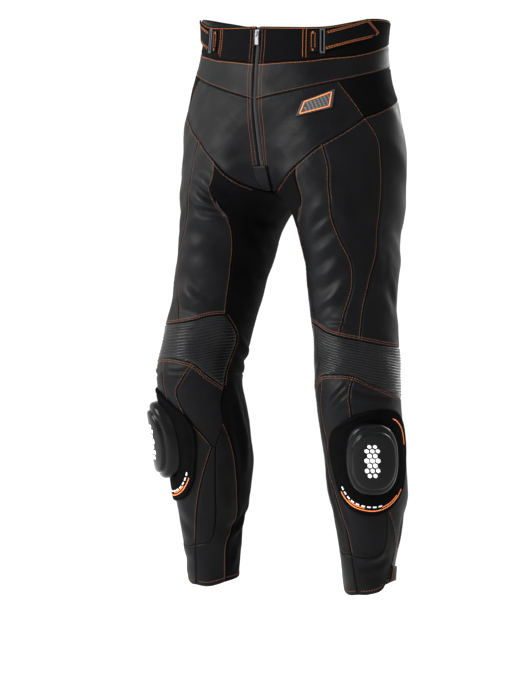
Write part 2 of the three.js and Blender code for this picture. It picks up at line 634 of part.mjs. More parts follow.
function fromSolid(body) {
  const mesh = body.getMesh();
  const geometry = new THREE.BufferGeometry();
  geometry.setAttribute('position', new THREE.BufferAttribute(mesh.vertProperties, 3));
  geometry.setIndex(new THREE.BufferAttribute(mesh.triVerts, 1));
  return geometry;
}

const stripFront = front(LEFT, SLIDER_MIDDLE - SLIDER_TALL / 2, 0, 0).y;
const sliderBack = stripFront - 0.4;
const sliderFace = sliderBack - SLIDER_THICK;
const axisY = sliderFace - EYE_DEEP / 2;
const body = new THREE.BoxGeometry(SLIDER_WIDE, SLIDER_THICK, SLIDER_TALL);
body.translate(0, (sliderBack + sliderFace) / 2, SLIDER_MIDDLE);
const legTall = BRIDGE_BAR + 0.1;
const arm = new THREE.BoxGeometry(BRIDGE_WIDE, BRIDGE_BAR, EYE_TALL + 2 * legTall);
arm.translate(0, sliderFace - EYE_DEEP - BRIDGE_BAR / 2, SLIDER_MIDDLE);
const leg = (up) => {
  const box = new THREE.BoxGeometry(BRIDGE_WIDE, EYE_DEEP + 1, legTall);
  return box.translate(0, sliderFace - EYE_DEEP / 2, SLIDER_MIDDLE + up * (EYE_TALL + legTall) / 2);
};
const bridged = [arm, leg(1), leg(-1)].reduce((whole, box) => whole.add(asSolid(box)), asSolid(body));
add('zip_slider', fromSolid(bridged), 'metal');

const pull = rectangle(PULL_WIDE / 2, PULL_LONG / 2);
const windowPath = new THREE.Path();
const windowTop = PULL_LONG / 2 - PULL_THICK;
windowPath.moveTo(-PULL_SLOT / 2, windowTop - PULL_WINDOW);
windowPath.lineTo(PULL_SLOT / 2, windowTop - PULL_WINDOW);
windowPath.lineTo(PULL_SLOT / 2, windowTop);
windowPath.lineTo(-PULL_SLOT / 2, windowTop);
windowPath.closePath();
pull.holes.push(windowPath);
const pullMiddle = SLIDER_MIDDLE + PULL_THICK / 2 - PULL_LONG / 2;
add('zip_pull', plate(pull, PULL_THICK, axisY + PULL_THICK / 2, pullMiddle), 'metal');

export default trousers;
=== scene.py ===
import math
import bpy
import numpy as np
from mathutils import Matrix, Vector


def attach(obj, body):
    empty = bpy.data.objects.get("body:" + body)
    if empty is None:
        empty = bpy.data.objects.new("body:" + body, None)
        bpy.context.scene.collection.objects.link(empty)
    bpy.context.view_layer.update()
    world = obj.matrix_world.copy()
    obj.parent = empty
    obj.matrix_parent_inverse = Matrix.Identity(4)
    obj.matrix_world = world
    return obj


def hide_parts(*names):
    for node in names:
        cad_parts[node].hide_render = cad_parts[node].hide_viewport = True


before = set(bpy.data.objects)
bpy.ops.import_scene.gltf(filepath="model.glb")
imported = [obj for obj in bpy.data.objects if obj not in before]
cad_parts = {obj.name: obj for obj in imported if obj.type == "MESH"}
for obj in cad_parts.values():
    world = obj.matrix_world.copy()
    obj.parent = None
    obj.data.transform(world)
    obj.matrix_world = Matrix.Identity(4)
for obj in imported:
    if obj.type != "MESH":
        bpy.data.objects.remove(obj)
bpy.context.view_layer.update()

# Leather motorcycle trousers, filled out with no wearer. The form below is in
# millimetres and is turned to metres when a mesh is made. The front faces -Y
# and the wearer's left side is +X.

bl_info = {
    "name": "Leather motorcycle trousers",
    "version": (1, 0, 0),
    "blender": (4, 5, 0),
    "location": "View3D > Sidebar > Trousers",
    "description": "Builds the panels, stitching and fittings of leather motorcycle trousers",
    "category": "Add Mesh",
}

BODY = "trousers"
MM = 0.001
RIGHT, LEFT = -1, 1
SIDES = (RIGHT, LEFT)
SUFFIX = {RIGHT: "_r", LEFT: "_l"}
RAD = math.pi / 180

# ---- Form ----------------------------------------------------------------
LEG_EASE = 0.025         # one leg is filled out a little more than the other
STANCE_ROLL = 0.085      # rise of the wearer's right side for each mm across
ROLL_FROM, ROLL_TO = -620, -950
ZIP_HALF = 3.2
HOLLOW_DEEP, HOLLOW_WIDE = 22, 55    # the front runs back this far under the fly
CROTCH = -304.5
MIDLINE_GAP = 0.1        # each half stops this far from the midline

# One row a section of half the garment: its height, its outer and inner edge
# across, the centre of its depth, and half its depth.
KEYS = ("z", "outer", "inner", "centre", "depth")
SECTIONS = np.array([
    (10, 173, -173, 0, 112), (-45, 168, -168, -1, 112), (-95, 177, -177, -5, 115),
    (-150, 193, -193, -6, 119), (-205, 203, -184, -6, 122), (-255, 202, -106, -7, 121),
    (-300, 198, -6, -10, 113), (-322, 196, 20, -13, 106), (-345, 194, 33, -16, 99), (-400, 199, 47, -22, 88),
    (-470, 203, 61, -34, 77), (-540, 215, 76, -44, 74), (-610, 222, 85, -55, 74),
    (-690, 216, 84, -32, 75), (-770, 214, 89, -19, 72), (-850, 202, 103, -20, 56),
    (-910, 193, 109, -18, 47), (-965, 189, 112, -15, 43),
], float)
BEFORE = np.maximum(np.arange(len(SECTIONS)) - 1, 0)
AFTER = np.minimum(np.arange(len(SECTIONS)) + 1, len(SECTIONS) - 1)
SLOPES = (SECTIONS[AFTER] - SECTIONS[BEFORE]) / (SECTIONS[AFTER, :1] - SECTIONS[BEFORE, :1])


def column(key, z):
    """Value of one column at any height, on a smooth curve through the rows."""
    k, rows = KEYS.index(key), SECTIONS[:, 0]
    i = np.clip(np.searchsorted(-rows, -np.asarray(z, float)) - 1, 0, len(rows) - 2)
    h = rows[i + 1] - rows[i]
    t = np.clip((z - rows[i]) / h, 0, 1)
    a, b = SECTIONS[i, k], SECTIONS[i + 1, k]
    ends = (2 * t**3 - 3 * t**2 + 1) * a + (3 * t**2 - 2 * t**3) * b
    return ends + h * ((t**3 - 2 * t**2 + t) * SLOPES[i, k] + (t**3 - t**2) * SLOPES[i + 1, k])


def across(side, z):
    """Centre and half width of a section across, and its share of fullness."""
    ease = 1 - side * LEG_EASE * np.clip((-315 - z) / 100, 0, 1)
    outer, inner = column("outer", z), column("inner", z)
    return (outer + inner) / 2, (outer - inner) / 2 * ease, ease


def eased(t):
    t = np.clip(t, 0, 1)
    return t * t * (3 - 2 * t)


def hollow(x, angle, z):
    """How far the front runs back under the fly, toward the crotch."""
    down = eased((-130 - z) / 130) * (1 - eased((-300 - z) / 45))
    return HOLLOW_DEEP * np.exp(-(x / HOLLOW_WIDE) ** 2) * down * np.maximum(np.cos(angle * RAD), 0)


def skin(side, angle, z):
    """Points of the outer face. Angle 0 is the front, 90 the outer side, 180 the back."""
    angle, z = np.broadcast_arrays(np.asarray(angle, float), np.asarray(z, float))
    centre, half, ease = across(side, z)
    x = side * (centre + half * np.sin(angle * RAD))
    y = column("centre", z) - ease * column("depth", z) * np.cos(angle * RAD) + hollow(x, angle, z)
    roll = STANCE_ROLL * np.clip((z - ROLL_TO) / (ROLL_FROM - ROLL_TO), 0, 1)
    return np.stack([x, y, z - roll * x], -1)


def outward(side, angle, z):
    """Outward direction of the outer face."""
    du = skin(side, angle + 0.5, z) - skin(side, angle - 0.5, z)
    dv = skin(side, angle, z + 0.5) - skin(side, angle, z - 0.5)
    n = np.cross(du, dv) * side
    return n / np.linalg.norm(n, axis=-1, keepdims=True)


def mm_per_degree(side, z):
    """Rough length of one degree of a section."""
    _, half, ease = across(side, z)
    return (half + ease * column("depth", z)) / 2 * RAD


# ---- Folds ---------------------------------------------------------------
# Each fold has its height in mm (a trough is below zero), its half width in
# mm, and the [angle, height] points that it runs through.
FOLDS = {
    RIGHT: (
        (4.2, 6.5, ((26, -270), (14, -279), (2, -292), (-12, -303), (-25, -316))),
        (-3.4, 5.0, ((24, -281), (10, -294), (-6, -306), (-18, -314), (-30, -321))),
        (3.4, 6.0, ((16, -306), (4, -315), (-10, -321), (-22, -324), (-31, -322))),
        (-3.6, 6.5, ((8, -326), (-6, -332), (-20, -333), (-32, -330))),
        (1.8, 14.0, ((24, -356), (8, -348), (-10, -350), (-26, -340))),
        (-1.2, 12.0, ((22, -370), (2, -368), (-16, -372), (-34, -368))),
        (1.2, 15.0, ((24, -384), (-2, -388), (-28, -384))),
        (-1.3, 13.0, ((26, -396), (0, -402), (-20, -404), (-38, -396))),
        (1.4, 17.0, ((28, -412), (0, -420), (-34, -416))),
        (-1.2, 14.0, ((26, -434), (-4, -442), (-34, -436))),
        (-2.0, 8.0, ((10, -444), (-8, -461), (-24, -468), (-38, -462))),
        (2.2, 9.0, ((24, -446), (10, -466), (-8, -482), (-28, -488), (-40, -478))),
        (-1.6, 6.0, ((26, -476), (8, -496), (-14, -500))),
        (2.0, 11.0, ((58, -292), (46, -312), (38, -332), (46, -362))),
        (-1.8, 9.0, ((70, -322), (56, -338), (50, -366), (58, -396))),
        (1.6, 12.0, ((88, -246), (76, -282), (70, -316))),
        (-1.5, 10.0, ((104, -232), (92, -276), (86, -320))),
        (1.7, 9.0, ((104, -402), (84, -424), (66, -440))),
        (-1.6, 8.0, ((118, -424), (94, -448), (70, -468))),
        (1.8, 8.0, ((110, -478), (88, -492), (60, -502))),
        (-2.0, 6.5, ((-60, -322), (-74, -338), (-96, -348))),
        (1.8, 8.0, ((-56, -340), (-74, -356), (-100, -364))),
        (-1.8, 8.0, ((-60, -392), (-84, -412), (-116, -418))),
        (1.6, 9.0, ((-58, -426), (-82, -446), (-112, -452))),
        (-1.6, 8.0, ((-62, -470), (-92, -492), (-124, -496))),
        (2.2, 5.0, ((-80, -536), (-98, -548), (-122, -560), (-150, -572))),
        (-2.4, 4.5, ((-78, -550), (-98, -563), (-124, -576), (-150, -586))),
        (1.6, 5.0, ((-82, -572), (-104, -584), (-132, -594))),
        (1.5, 2.6, ((10, -594), (-4, -593), (-19, -590))),
        (-1.6, 2.4, ((10, -599), (-4, -598), (-20, -596))),
        (1.3, 2.6, ((14, -605), (-2, -604), (-18, -602))),
        (1.5, 3.2, ((70, -606), (56, -601), (42, -600))),
        (-1.4, 3.0, ((76, -615), (60, -609), (44, -607))),
        (2.4, 7.0, ((-84, -604), (-92, -640), (-97, -705), (-96, -760))),
        (-2.2, 7.0, ((-76, -640), (-80, -700), (-84, -760))),
        (-2.4, 6.0, ((-112, -812), (-100, -834), (-84, -846), (-68, -850))),
        (3.0, 6.0, ((-116, -824), (-104, -845), (-84, -857), (-66, -863))),
        (-1.8, 6.0, ((-112, -852), (-96, -872), (-74, -884))),
        (2.0, 6.0, ((-100, -884), (-88, -902), (-74, -918))),
        (1.2, 9.0, ((24, -812), (6, -826), (-8, -836))),
        (-1.2, 8.0, ((36, -832), (14, -848), (-6, -852))),
        (1.2, 8.0, ((60, -880), (36, -888), (10, -884))),
        (-1.2, 8.0, ((66, -898), (40, -908), (8, -902))),
        (2.4, 9.0, ((134, -300), (160, -306), (186, -300), (214, -310))),
        (-2.6, 8.0, ((130, -320), (158, -327), (188, -320), (220, -332))),
        (2.0, 9.0, ((140, -346), (168, -352), (200, -344), (222, -352))),
        (-1.8, 10.0, ((132, -386), (160, -378), (196, -388))),
        (2.0, 10.0, ((136, -430), (170, -440), (206, -426), (222, -434))),
        (-2.2, 8.0, ((134, -466), (164, -478), (200, -470), (222, -478))),
        (2.2, 8.0, ((138, -498), (172, -508), (206, -500))),
        (2.6, 5.5, ((140, -546), (166, -550), (196, -546), (222, -553))),
        (-2.8, 5.0, ((132, -559), (160, -563), (192, -559), (224, -566))),
        (2.6, 5.5, ((138, -572), (168, -577), (200, -571), (226, -578))),
        (-2.4, 5.0, ((136, -587), (166, -590), (198, -585), (228, -592))),
        (2.2, 6.5, ((140, -604), (172, -608), (206, -602))),
        (-1.8, 8.0, ((150, -640), (184, -648), (222, -640))),
        (1.6, 10.0, ((146, -690), (180, -706), (218, -698))),
        (-1.8, 8.0, ((150, -772), (186, -784), (226, -776))),
        (2.0, 8.0, ((152, -812), (188, -826), (226, -818), (250, -808))),
        (-2.0, 7.0, ((148, -842), (182, -852), (224, -844))),
        (1.6, 8.0, ((150, -880), (190, -886), (230, -878))),
    ),
    LEFT: (
        (2.6, 8.0, ((22, -306), (6, -321), (-12, -340), (-20, -354))),
        (-2.2, 7.0, ((20, -318), (6, -332), (-10, -350), (-24, -366))),
        (2.0, 8.5, ((24, -326), (8, -341), (-12, -356), (-24, -372))),
        (-1.5, 8.0, ((22, -344), (6, -362), (-16, -382))),
        (1.9, 9.0, ((24, -358), (8, -374), (-12, -388), (-26, -402))),
        (-1.5, 9.0, ((24, -376), (6, -398), (-18, -416))),
        (2.0, 9.0, ((22, -394), (4, -414), (-16, -428), (-34, -440))),
        (-1.5, 9.0, ((26, -412), (8, -436), (-16, -452))),
        (2.4, 8.0, ((24, -428), (8, -454), (-12, -474), (-28, -488))),
        (-2.4, 6.0, ((6, -466), (-10, -480), (-30, -494))),
        (2.0, 5.0, ((6, -472), (-10, -486), (-24, -496))),
        (1.8, 4.5, ((-8, -504), (8, -502), (22, -504), (34, -507))),
        (-1.6, 4.0, ((-6, -497), (10, -495), (28, -497))),
        (1.4, 10.0, ((30, -294), (31, -322), (33, -352))),
        (-1.3, 10.0, ((48, -256), (44, -296), (44, -340))),
        (1.2, 12.0, ((60, -420), (50, -452), (46, -486))),
        (-1.4, 8.0, ((76, -372), (82, -402), (96, -432), (106, -450))),
        (1.8, 7.0, ((80, -388), (87, -414), (102, -440), (112, -462))),
        (-1.2, 8.0, ((84, -430), (94, -456), (104, -480))),
        (-2.0, 6.5, ((-60, -322), (-74, -338), (-96, -348))),
        (1.8, 8.0, ((-56, -340), (-74, -356), (-100, -364))),
        (-1.6, 8.0, ((-60, -396), (-84, -414), (-116, -422))),
        (1.5, 9.0, ((-58, -432), (-82, -450), (-112, -456))),
        (2.2, 5.0, ((-80, -536), (-98, -548), (-122, -560), (-150, -572))),
        (-2.4, 4.5, ((-78, -550), (-98, -563), (-124, -576), (-150, -586))),
        (2.0, 2.2, ((15, -588), (4, -600), (-6, -611), (-14, -620))),
        (-1.8, 2.0, ((17, -593), (6, -604), (-4, -615), (-12, -624))),
        (1.9, 2.2, ((19, -597), (9, -607), (-1, -619), (-9, -628))),
        (-1.7, 2.0, ((20, -603), (11, -612), (1, -623), (-7, -632))),
        (1.6, 2.4, ((21, -609), (12, -618), (3, -628), (-5, -637))),
        (2.4, 4.0, ((17, -585), (30, -591), (46, -597), (62, -599), (80, -602))),
        (-1.8, 4.0, ((22, -598), (40, -606), (60, -608), (82, -612))),
        (1.6, 5.0, ((0, -622), (16, -617), (34, -613), (56, -613))),
        (-1.4, 5.0, ((4, -632), (22, -627), (40, -624))),
        (2.0, 6.0, ((-34, -706), (-26, -762), (-16, -800), (-4, -836))),
        (-2.0, 6.0, ((-44, -720), (-36, -772), (-26, -812), (-14, -846))),
        (1.4, 8.0, ((-56, -700), (-58, -760), (-54, -812))),
        (-1.5, 7.0, ((-66, -740), (-66, -792), (-58, -842))),
        (1.8, 6.0, ((10, -886), (30, -884), (50, -879), (68, -868))),
        (-1.6, 6.0, ((8, -897), (34, -896), (58, -888), (76, -874))),
        (1.2, 8.0, ((70, -918), (44, -928), (14, -926))),
        (-1.4, 5.0, ((104, -812), (112, -842), (110, -872))),
        (1.6, 5.0, ((112, -806), (120, -838), (118, -868))),
        (2.2, 9.0, ((134, -296), (160, -303), (186, -298), (214, -306))),
        (-2.4, 8.0, ((130, -314), (158, -323), (188, -318), (220, -328))),
        (2.0, 9.0, ((140, -340), (168, -349), (200, -343), (222, -350))),
        (-1.8, 10.0, ((132, -380), (160, -374), (196, -384))),
        (2.0, 10.0, ((136, -424), (170, -436), (206, -424), (222, -430))),
        (-2.2, 8.0, ((134, -462), (164, -472), (200, -466), (222, -472))),
        (2.2, 8.0, ((138, -494), (172, -504), (206, -497))),
        (2.6, 5.5, ((140, -545), (166, -548), (196, -545), (222, -551))),
        (-2.8, 5.0, ((132, -557), (160, -561), (192, -558), (224, -564))),
        (2.6, 5.5, ((138, -570), (168, -575), (200, -570), (226, -576))),
        (-2.4, 5.0, ((136, -585), (166, -589), (198, -584), (228, -590))),
        (2.2, 6.5, ((140, -602), (172, -607), (206, -601))),
        (-1.8, 8.0, ((150, -636), (184, -645), (222, -637))),
        (1.6, 10.0, ((146, -686), (180, -702), (218, -694))),
        (-1.8, 8.0, ((150, -768), (186, -780), (226, -773))),
        (2.0, 8.0, ((152, -808), (188, -822), (226, -814), (250, -806))),
        (-2.0, 7.0, ((148, -838), (182, -848), (224, -841))),
        (1.6, 8.0, ((150, -876), (190, -883), (230, -875))),
    ),
}
# Folds of the hips, the same idea on both sides but drawn once for each.
HIP_FOLDS = (
    (1.6, 12.0, ((150, -214), (168, -236), (190, -250), (212, -262))),
    (-1.8, 10.0, ((146, -236), (166, -258), (190, -272))),
    (1.4, 14.0, ((196, -168), (188, -206), (196, -240))),
    (-1.2, 12.0, ((118, -150), (132, -186), (140, -222))),
    (1.2, 16.0, ((20, -176), (28, -206), (16, -232))),
    (-1.2, 12.0, ((-6, -232), (8, -246), (22, -240))),
)
FOLD_REACH = 3.2         # half widths past which a fold is over
FOLD_SHOULDER = 0.3      # depth of the hollow beside a ridge, of its height
SWELLS = (               # long soft swells of the whole skin: mm, and waves a metre
    (0.55, (9.0, 4.0, 11.0), 0.3), (0.45, (-7.0, 12.0, 15.0), 1.9),
    (0.30, (17.0, -9.0, 6.0), 4.1), (0.13, (-21.0, 16.0, 24.0), 2.2),
    (0.06, (33.0, 28.0, -41.0), 5.2), (0.04, (52.0, -38.0, 47.0), 0.9),
)


def folds(side, angle, z, strength=1.0):
    """Height of the folds over the smooth form, in mm."""
    angle, z = np.broadcast_arrays(np.asarray(angle, float), np.asarray(z, float))
    degree = mm_per_degree(side, z)
    total = np.zeros(z.shape)
    for height, width, line in FOLDS[side] + HIP_FOLDS:
        line = np.array(line, float)
        reach = FOLD_REACH * width
        near = (z < line[:, 1].max() + reach) & (z > line[:, 1].min() - reach)
        if not near.any():
            continue
        scale, zz = degree[near], z[near]
        turn = (angle[near] - line[0, 0] + 180) % 360 - 180
        steps = np.hypot(np.diff(line[:, 0]) * 1.3, np.diff(line[:, 1]))
        along = np.concatenate([[0], np.cumsum(steps)]) / steps.sum()
        best, place = np.full(zz.shape, 1e9), np.zeros(zz.shape)
        for k in range(len(line) - 1):
            ax, bx = (line[k, 0] - line[0, 0]) * scale, (line[k + 1, 0] - line[0, 0]) * scale
            ex, ez = bx - ax, line[k + 1, 1] - line[k, 1]
            px, pz = turn * scale - ax, zz - line[k, 1]
            t = np.clip((px * ex + pz * ez) / (ex * ex + ez * ez), 0, 1)
            d = np.hypot(px - t * ex, pz - t * ez)
            closer = d < best
            best = np.where(closer, d, best)
            place = np.where(closer, along[k] + t * (along[k + 1] - along[k]), place)
        w = best / width
        taper = 1 - np.abs(2 * place - 1) ** 2.6
        shape = np.exp(-w * w) - FOLD_SHOULDER * np.exp(-((w - 1.9) / 0.75) ** 2)
        total[near] += height * taper * shape
    p = skin(side, angle, z)
    for size, wave, phase in SWELLS:
        total += size * np.sin((p @ np.array(wave)) * MM * 2 * math.pi + phase)
    fade = np.clip(np.abs(p[..., 0]) / 14, 0, 1)
    fade = np.where(z > CROTCH - 20, fade * fade * (3 - 2 * fade), 1)
    hold = np.clip((-z - 60) / 60, 0.15, 1)      # the waistband is stiff
    return total * fade * hold * strength


def on_skin(side, angle, z, lift=0.0, keep_off=MIDLINE_GAP):
    """Points moved out of the folded skin by lift. Nothing crosses the midline."""
    settings = bpy.context.scene.trousers
    high = folds(side, angle, z, settings.fold_strength) + lift
    p = skin(side, angle, z) + outward(side, angle, z) * np.asarray(high)[..., None]
    p[..., 0] = side * np.maximum(side * p[..., 0], keep_off)
    return p


def mid_front(z, off=0.0):
    """Angle at which a section meets the midline at the front."""
    centre, half, _ = across(RIGHT, z)
    return -np.arcsin(np.clip((centre - off) / half, -1, 1)) / RAD


def mid_back(z):
    return -180 - mid_front(z)


# ---- Seam lines ----------------------------------------------------------
STEPS = 6                # short pieces between two named points of a line
LEAN = 1.4               # mm of one degree, near enough to space a line


def smooth(points):
    """A soft curve through [angle, height] points, STEPS pieces between two of them."""
    p = np.array(points, float)
    if len(p) == 2:
        return p[0] + (p[1] - p[0]) * np.linspace(0, 1, STEPS + 1)[:, None]
    gaps = np.hypot(np.diff(p[:, 0]) * LEAN, np.diff(p[:, 1]))
    t = np.concatenate([[0], np.cumsum(gaps)])
    slopes = np.gradient(p, t, axis=0)
    out = [p[:1]]
    u = np.linspace(0, 1, STEPS + 1)[1:, None]
    for k, h in enumerate(gaps):
        bend = h * ((u**3 - 2 * u**2 + u) * slopes[k] + (u**3 - u**2) * slopes[k + 1])
        out.append((2 * u**3 - 3 * u**2 + 1) * p[k] + (3 * u**2 - 2 * u**3) * p[k + 1] + bend)
    return np.concatenate(out)


def stretch(line, first, last):
    """The stretch of a line between two of its named points."""
    return line[first * STEPS:last * STEPS + 1]


def joined(*lines):
    return np.concatenate(lines)


def turned(line, by):
    return line + np.array([by, 0.0])


def upright(start, end, steps, angle_at):
    z = np.linspace(start, end, steps + 1)
    return np.stack([angle_at(z), z], -1)


def zip_edge(z):
    return (float(mid_front(z, ZIP_HALF)), z)


RIM = smooth([zip_edge(-26), (16, -26), (30, -25), (42, -22), (57, -13), (72, -4), (90, 0), (115, 0)])
RIM_BACK = smooth([(115, 0), (135, -3), (157, -6), (180, -8)])
BAND = smooth([zip_edge(-87), (16, -83), (30, -79), (42, -73), (57, -67), (72, -58), (90, -46), (115, -36)])
BAND_BACK = smooth([(115, -36), (135, -40), (157, -45), (180, -48)])
YOKE = smooth([zip_edge(-146), (24, -128), (48, -110), (72, -94), (95, -80), (115, -74)])
YOKE_BACK = smooth([(115, -74), (137, -80), (158, -88), (180, -98)])
HIP_FRONT = smooth([(48, -110), (55, -138), (61, -165)])
VEE_MIDDLE = (-34, -288)
VEE_LOW = smooth([VEE_MIDDLE, (-17, -280), (0, -266), (13, -249), (34, -213), (48, -189), (61, -165)])
VEE_INSEAM, VEE_FRONT, VEE_OUTER = 3, 4, 6
VEE_HIGH = smooth([(61, -165), (84, -144), (105, -131), (125, -126)])
HIP_BACK = smooth([(115, -74), (125, -126)])
SEAT_END = (float(mid_back(-292)) + 360, -292)
SEAT = smooth([(125, -126), (138, -175), (156, -228), (180, -262), (206, -282), SEAT_END])
SEAT_CORNER = 2
INSEAM_FRONT = smooth([(13, -249), (3, -279), (-8, -304), (-22, -324), (-36, -345), (-44, -380),
                       (-47, -430), (-49, -470), (-52, -498)])
SEAM_FRONT = smooth([(34, -213), (33, -255), (26, -290), (20, -325), (24, -360), (34, -400), (34, -436),
                     (20, -485), (10, -518)])
SEAM_OUTER = smooth([(61, -165), (68, -195), (70, -230), (70, -300), (66, -376), (52, -441), (43, -490),
                     (37, -522)])
BACK_OUTER = smooth([(125, -126), (128, -220), (128, -330), (127, -430), (126, -531)])
BACK_INNER = smooth([SEAT_END, (240, -330), (230, -380), (225, -460), (227, -540)])
RIB_TOP = smooth([(-52, -498), (-30, -503), (-12, -512), (10, -518), (37, -522), (80, -528), (126, -531)])
RIB_BOTTOM = smooth([(-70, -618), (-46, -600), (-26, -583), (-5, -578), (28, -578), (50, -588), (73, -597),
                     (100, -605), (127, -612)])
RIB_INNER = smooth([(-52, -498), (-77, -538), (-75, -572), (-72, -592), (-70, -618)])
RIB_OUTER = smooth([(126, -531), (127, -612)])
KNEE_HOLLOW = smooth([(227, -540), (236, -596)])
KNEE_INSEAM = smooth([(-70, -618), (-61, -648), (-59, -676), (-52, -696), (-44, -715)])
LEAF = {
    RIGHT: smooth([(-26, -583), (-12, -612), (-2, -633), (-5, -652), (-12, -675), (-26, -694), (-40, -715)]),
    LEFT: smooth([(-26, -583), (-27, -602), (-33, -618), (-33, -640), (-30, -668), (-28, -694), (-40, -715)]),
}
SHIN_SEAM = smooth([(-40, -715), (-28, -753), (-17, -794), (-8, -845), (-2, -877)])
SHIN_POCKET = smooth([(-44, -715), (-42, -786), (-44, -836), (-41, -858), (-33, -872)])
KNEE_OUTER = smooth([(28, -578), (22, -603), (22, -642), (30, -700), (42, -748)])
POCKET_EDGE = smooth([(56, -790), (64, -812), (66, -834), (64, -859), (57, -871), (38, -878), (14, -879),
                      (-2, -877)])
CALF_OUTER = smooth([(60, -793), (72, -815), (86, -843), (94, -866), (89, -890), (76, -926), (36, -941),
                     (7, -942)])
BACK_CALF = smooth([(127, -612), (131, -700), (138, -790), (142, -860), (140, -922)])
INSEAM_CALF = smooth([(-59, -676), (-64, -693), (-69, -722), (-74, -762), (-80, -802), (-84, -830),
                      (-78, -850), (-68, -870), (-66, -937)])
HEM_FRONT = smooth([(-66, -937), (-20, -944), (7, -942)])
HEM_OUTER = smooth([(76, -926), (95, -923), (115, -922), (140, -922)])
HEM_BACK = smooth([(140, -922), (170, -924), (200, -927), (230, -930), (260, -933), (294, -937)])
SHARES = np.array([0.9, 0.7, 0.5, 0.3, 0.15, 0.05, 0.01])
FOOT_POINTS = np.array(VEE_MIDDLE) + SHARES[:, None] * (
    np.array([float(mid_front(-293)), -293.0]) - np.array(VEE_MIDDLE))
ZIP_FOOT_POINT = next(tuple(p) for p in FOOT_POINTS if skin(LEFT, p[0], p[1])[0] > ZIP_HALF)
ZIP_SIDE = smooth([zip_edge(z) for z in np.linspace(-146, -266, 7)] + [ZIP_FOOT_POINT])
SEAT_MIDDLE = upright(-98, -292, 20, lambda z: mid_back(z) + 360)
CROTCH_TOP = joined(stretch(VEE_LOW, 0, VEE_INSEAM)[::-1], upright(-293, CROTCH, 12, mid_front),
                    upright(CROTCH, -292, 12, mid_back))
LEATHER, STRETCH, RIBBED = "leather", "stretch", "ribbed"


def flat_line(*points):
    return np.array(points, float)


def hip_panels():
    """Seam lines of each panel above the V seam: look, top, bottom, left and right."""
    return {
        "waistband_front": (STRETCH, stretch(RIM, 0, 2), stretch(BAND, 0, 2),
                            flat_line(RIM[0], BAND[0]), flat_line(RIM[2 * STEPS], BAND[2 * STEPS])),
        "waistband_side": (STRETCH, stretch(RIM, 2, 7), stretch(BAND, 2, 7),
                           flat_line(RIM[2 * STEPS], BAND[2 * STEPS]), flat_line(RIM[-1], BAND[-1])),
        "yoke": (LEATHER, BAND, YOKE, flat_line(BAND[0], YOKE[0]), flat_line(BAND[-1], YOKE[-1])),
        "hip_front": (LEATHER, stretch(YOKE, 0, 2), joined([ZIP_FOOT_POINT], VEE_LOW), ZIP_SIDE, HIP_FRONT),
        "hip_side": (STRETCH, stretch(YOKE, 2, 5), VEE_HIGH, HIP_FRONT, HIP_BACK),
        "seat": (LEATHER, YOKE_BACK, stretch(SEAT, SEAT_CORNER, 5),
                 joined(HIP_BACK, stretch(SEAT, 0, SEAT_CORNER)), SEAT_MIDDLE),
    }


def leg_panels(side):
    """Seam lines of each panel of one leg: look, top, bottom, left and right."""
    knee_front = joined(LEAF[side], SHIN_SEAM)
    inseam_back = joined([(288, -592)], turned(stretch(RIB_INNER, 4, 4), 360),
                         turned(stretch(KNEE_INSEAM, 1, 2), 360))
    knee_back_line = flat_line((126, -531), (227, -540))
    return {
        "inner_thigh": (STRETCH, CROTCH_TOP, flat_line((-72, -592), (-124, -596)),
                        joined(INSEAM_FRONT, stretch(RIB_INNER, 0, 3)),
                        turned(joined(BACK_INNER, KNEE_HOLLOW), -360)),
        "thigh_front": (LEATHER, stretch(VEE_LOW, VEE_INSEAM, VEE_FRONT), stretch(RIB_TOP, 0, 3),
                        INSEAM_FRONT, SEAM_FRONT),
        "thigh_mid": (LEATHER, stretch(VEE_LOW, VEE_FRONT, VEE_OUTER), stretch(RIB_TOP, 3, 4),
                      SEAM_FRONT, SEAM_OUTER),
        "thigh_outer": (LEATHER, VEE_HIGH, stretch(RIB_TOP, 4, 6), SEAM_OUTER, BACK_OUTER),
        "thigh_back": (LEATHER, SEAT, knee_back_line, BACK_OUTER, BACK_INNER),
        "knee_ribs": (RIBBED, RIB_TOP, RIB_BOTTOM, RIB_INNER, RIB_OUTER),
        "knee_back": (STRETCH, knee_back_line, flat_line((127, -612), (236, -596)), RIB_OUTER, KNEE_HOLLOW),
        "knee_inner": (LEATHER, stretch(RIB_BOTTOM, 0, 2), flat_line((-44, -715), (-40, -715)),
                       KNEE_INSEAM, LEAF[side]),
        "shin_front": (LEATHER, stretch(RIB_BOTTOM, 2, 4), stretch(POCKET_EDGE, 4, 7)[::-1],
                       knee_front, joined(KNEE_OUTER, stretch(POCKET_EDGE, 0, 4))),
        "shin_inner": (LEATHER, flat_line((-44, -715), (-40, -715)), flat_line((-33, -872), (-2, -877)),
                       SHIN_POCKET, SHIN_SEAM),
        "cuff_inner": (LEATHER, stretch(KNEE_INSEAM, 2, 4), flat_line((7, -942), (-2, -877)),
                       joined(INSEAM_CALF, HEM_FRONT), joined(SHIN_POCKET, [(-2, -877)])),
        "cuff_front": (LEATHER, flat_line((56, -790), (60, -793)), flat_line((-2, -877), (7, -942)),
                       POCKET_EDGE, CALF_OUTER),
        "calf_outer": (LEATHER, stretch(RIB_BOTTOM, 4, 8), HEM_OUTER,
                       joined(KNEE_OUTER, stretch(CALF_OUTER, 0, 5)), BACK_CALF),
        "calf_back": (STRETCH, flat_line((127, -612), (236, -596), (288, -592)), HEM_BACK,
                      BACK_CALF, joined(inseam_back, turned(INSEAM_CALF, 360))),
    }


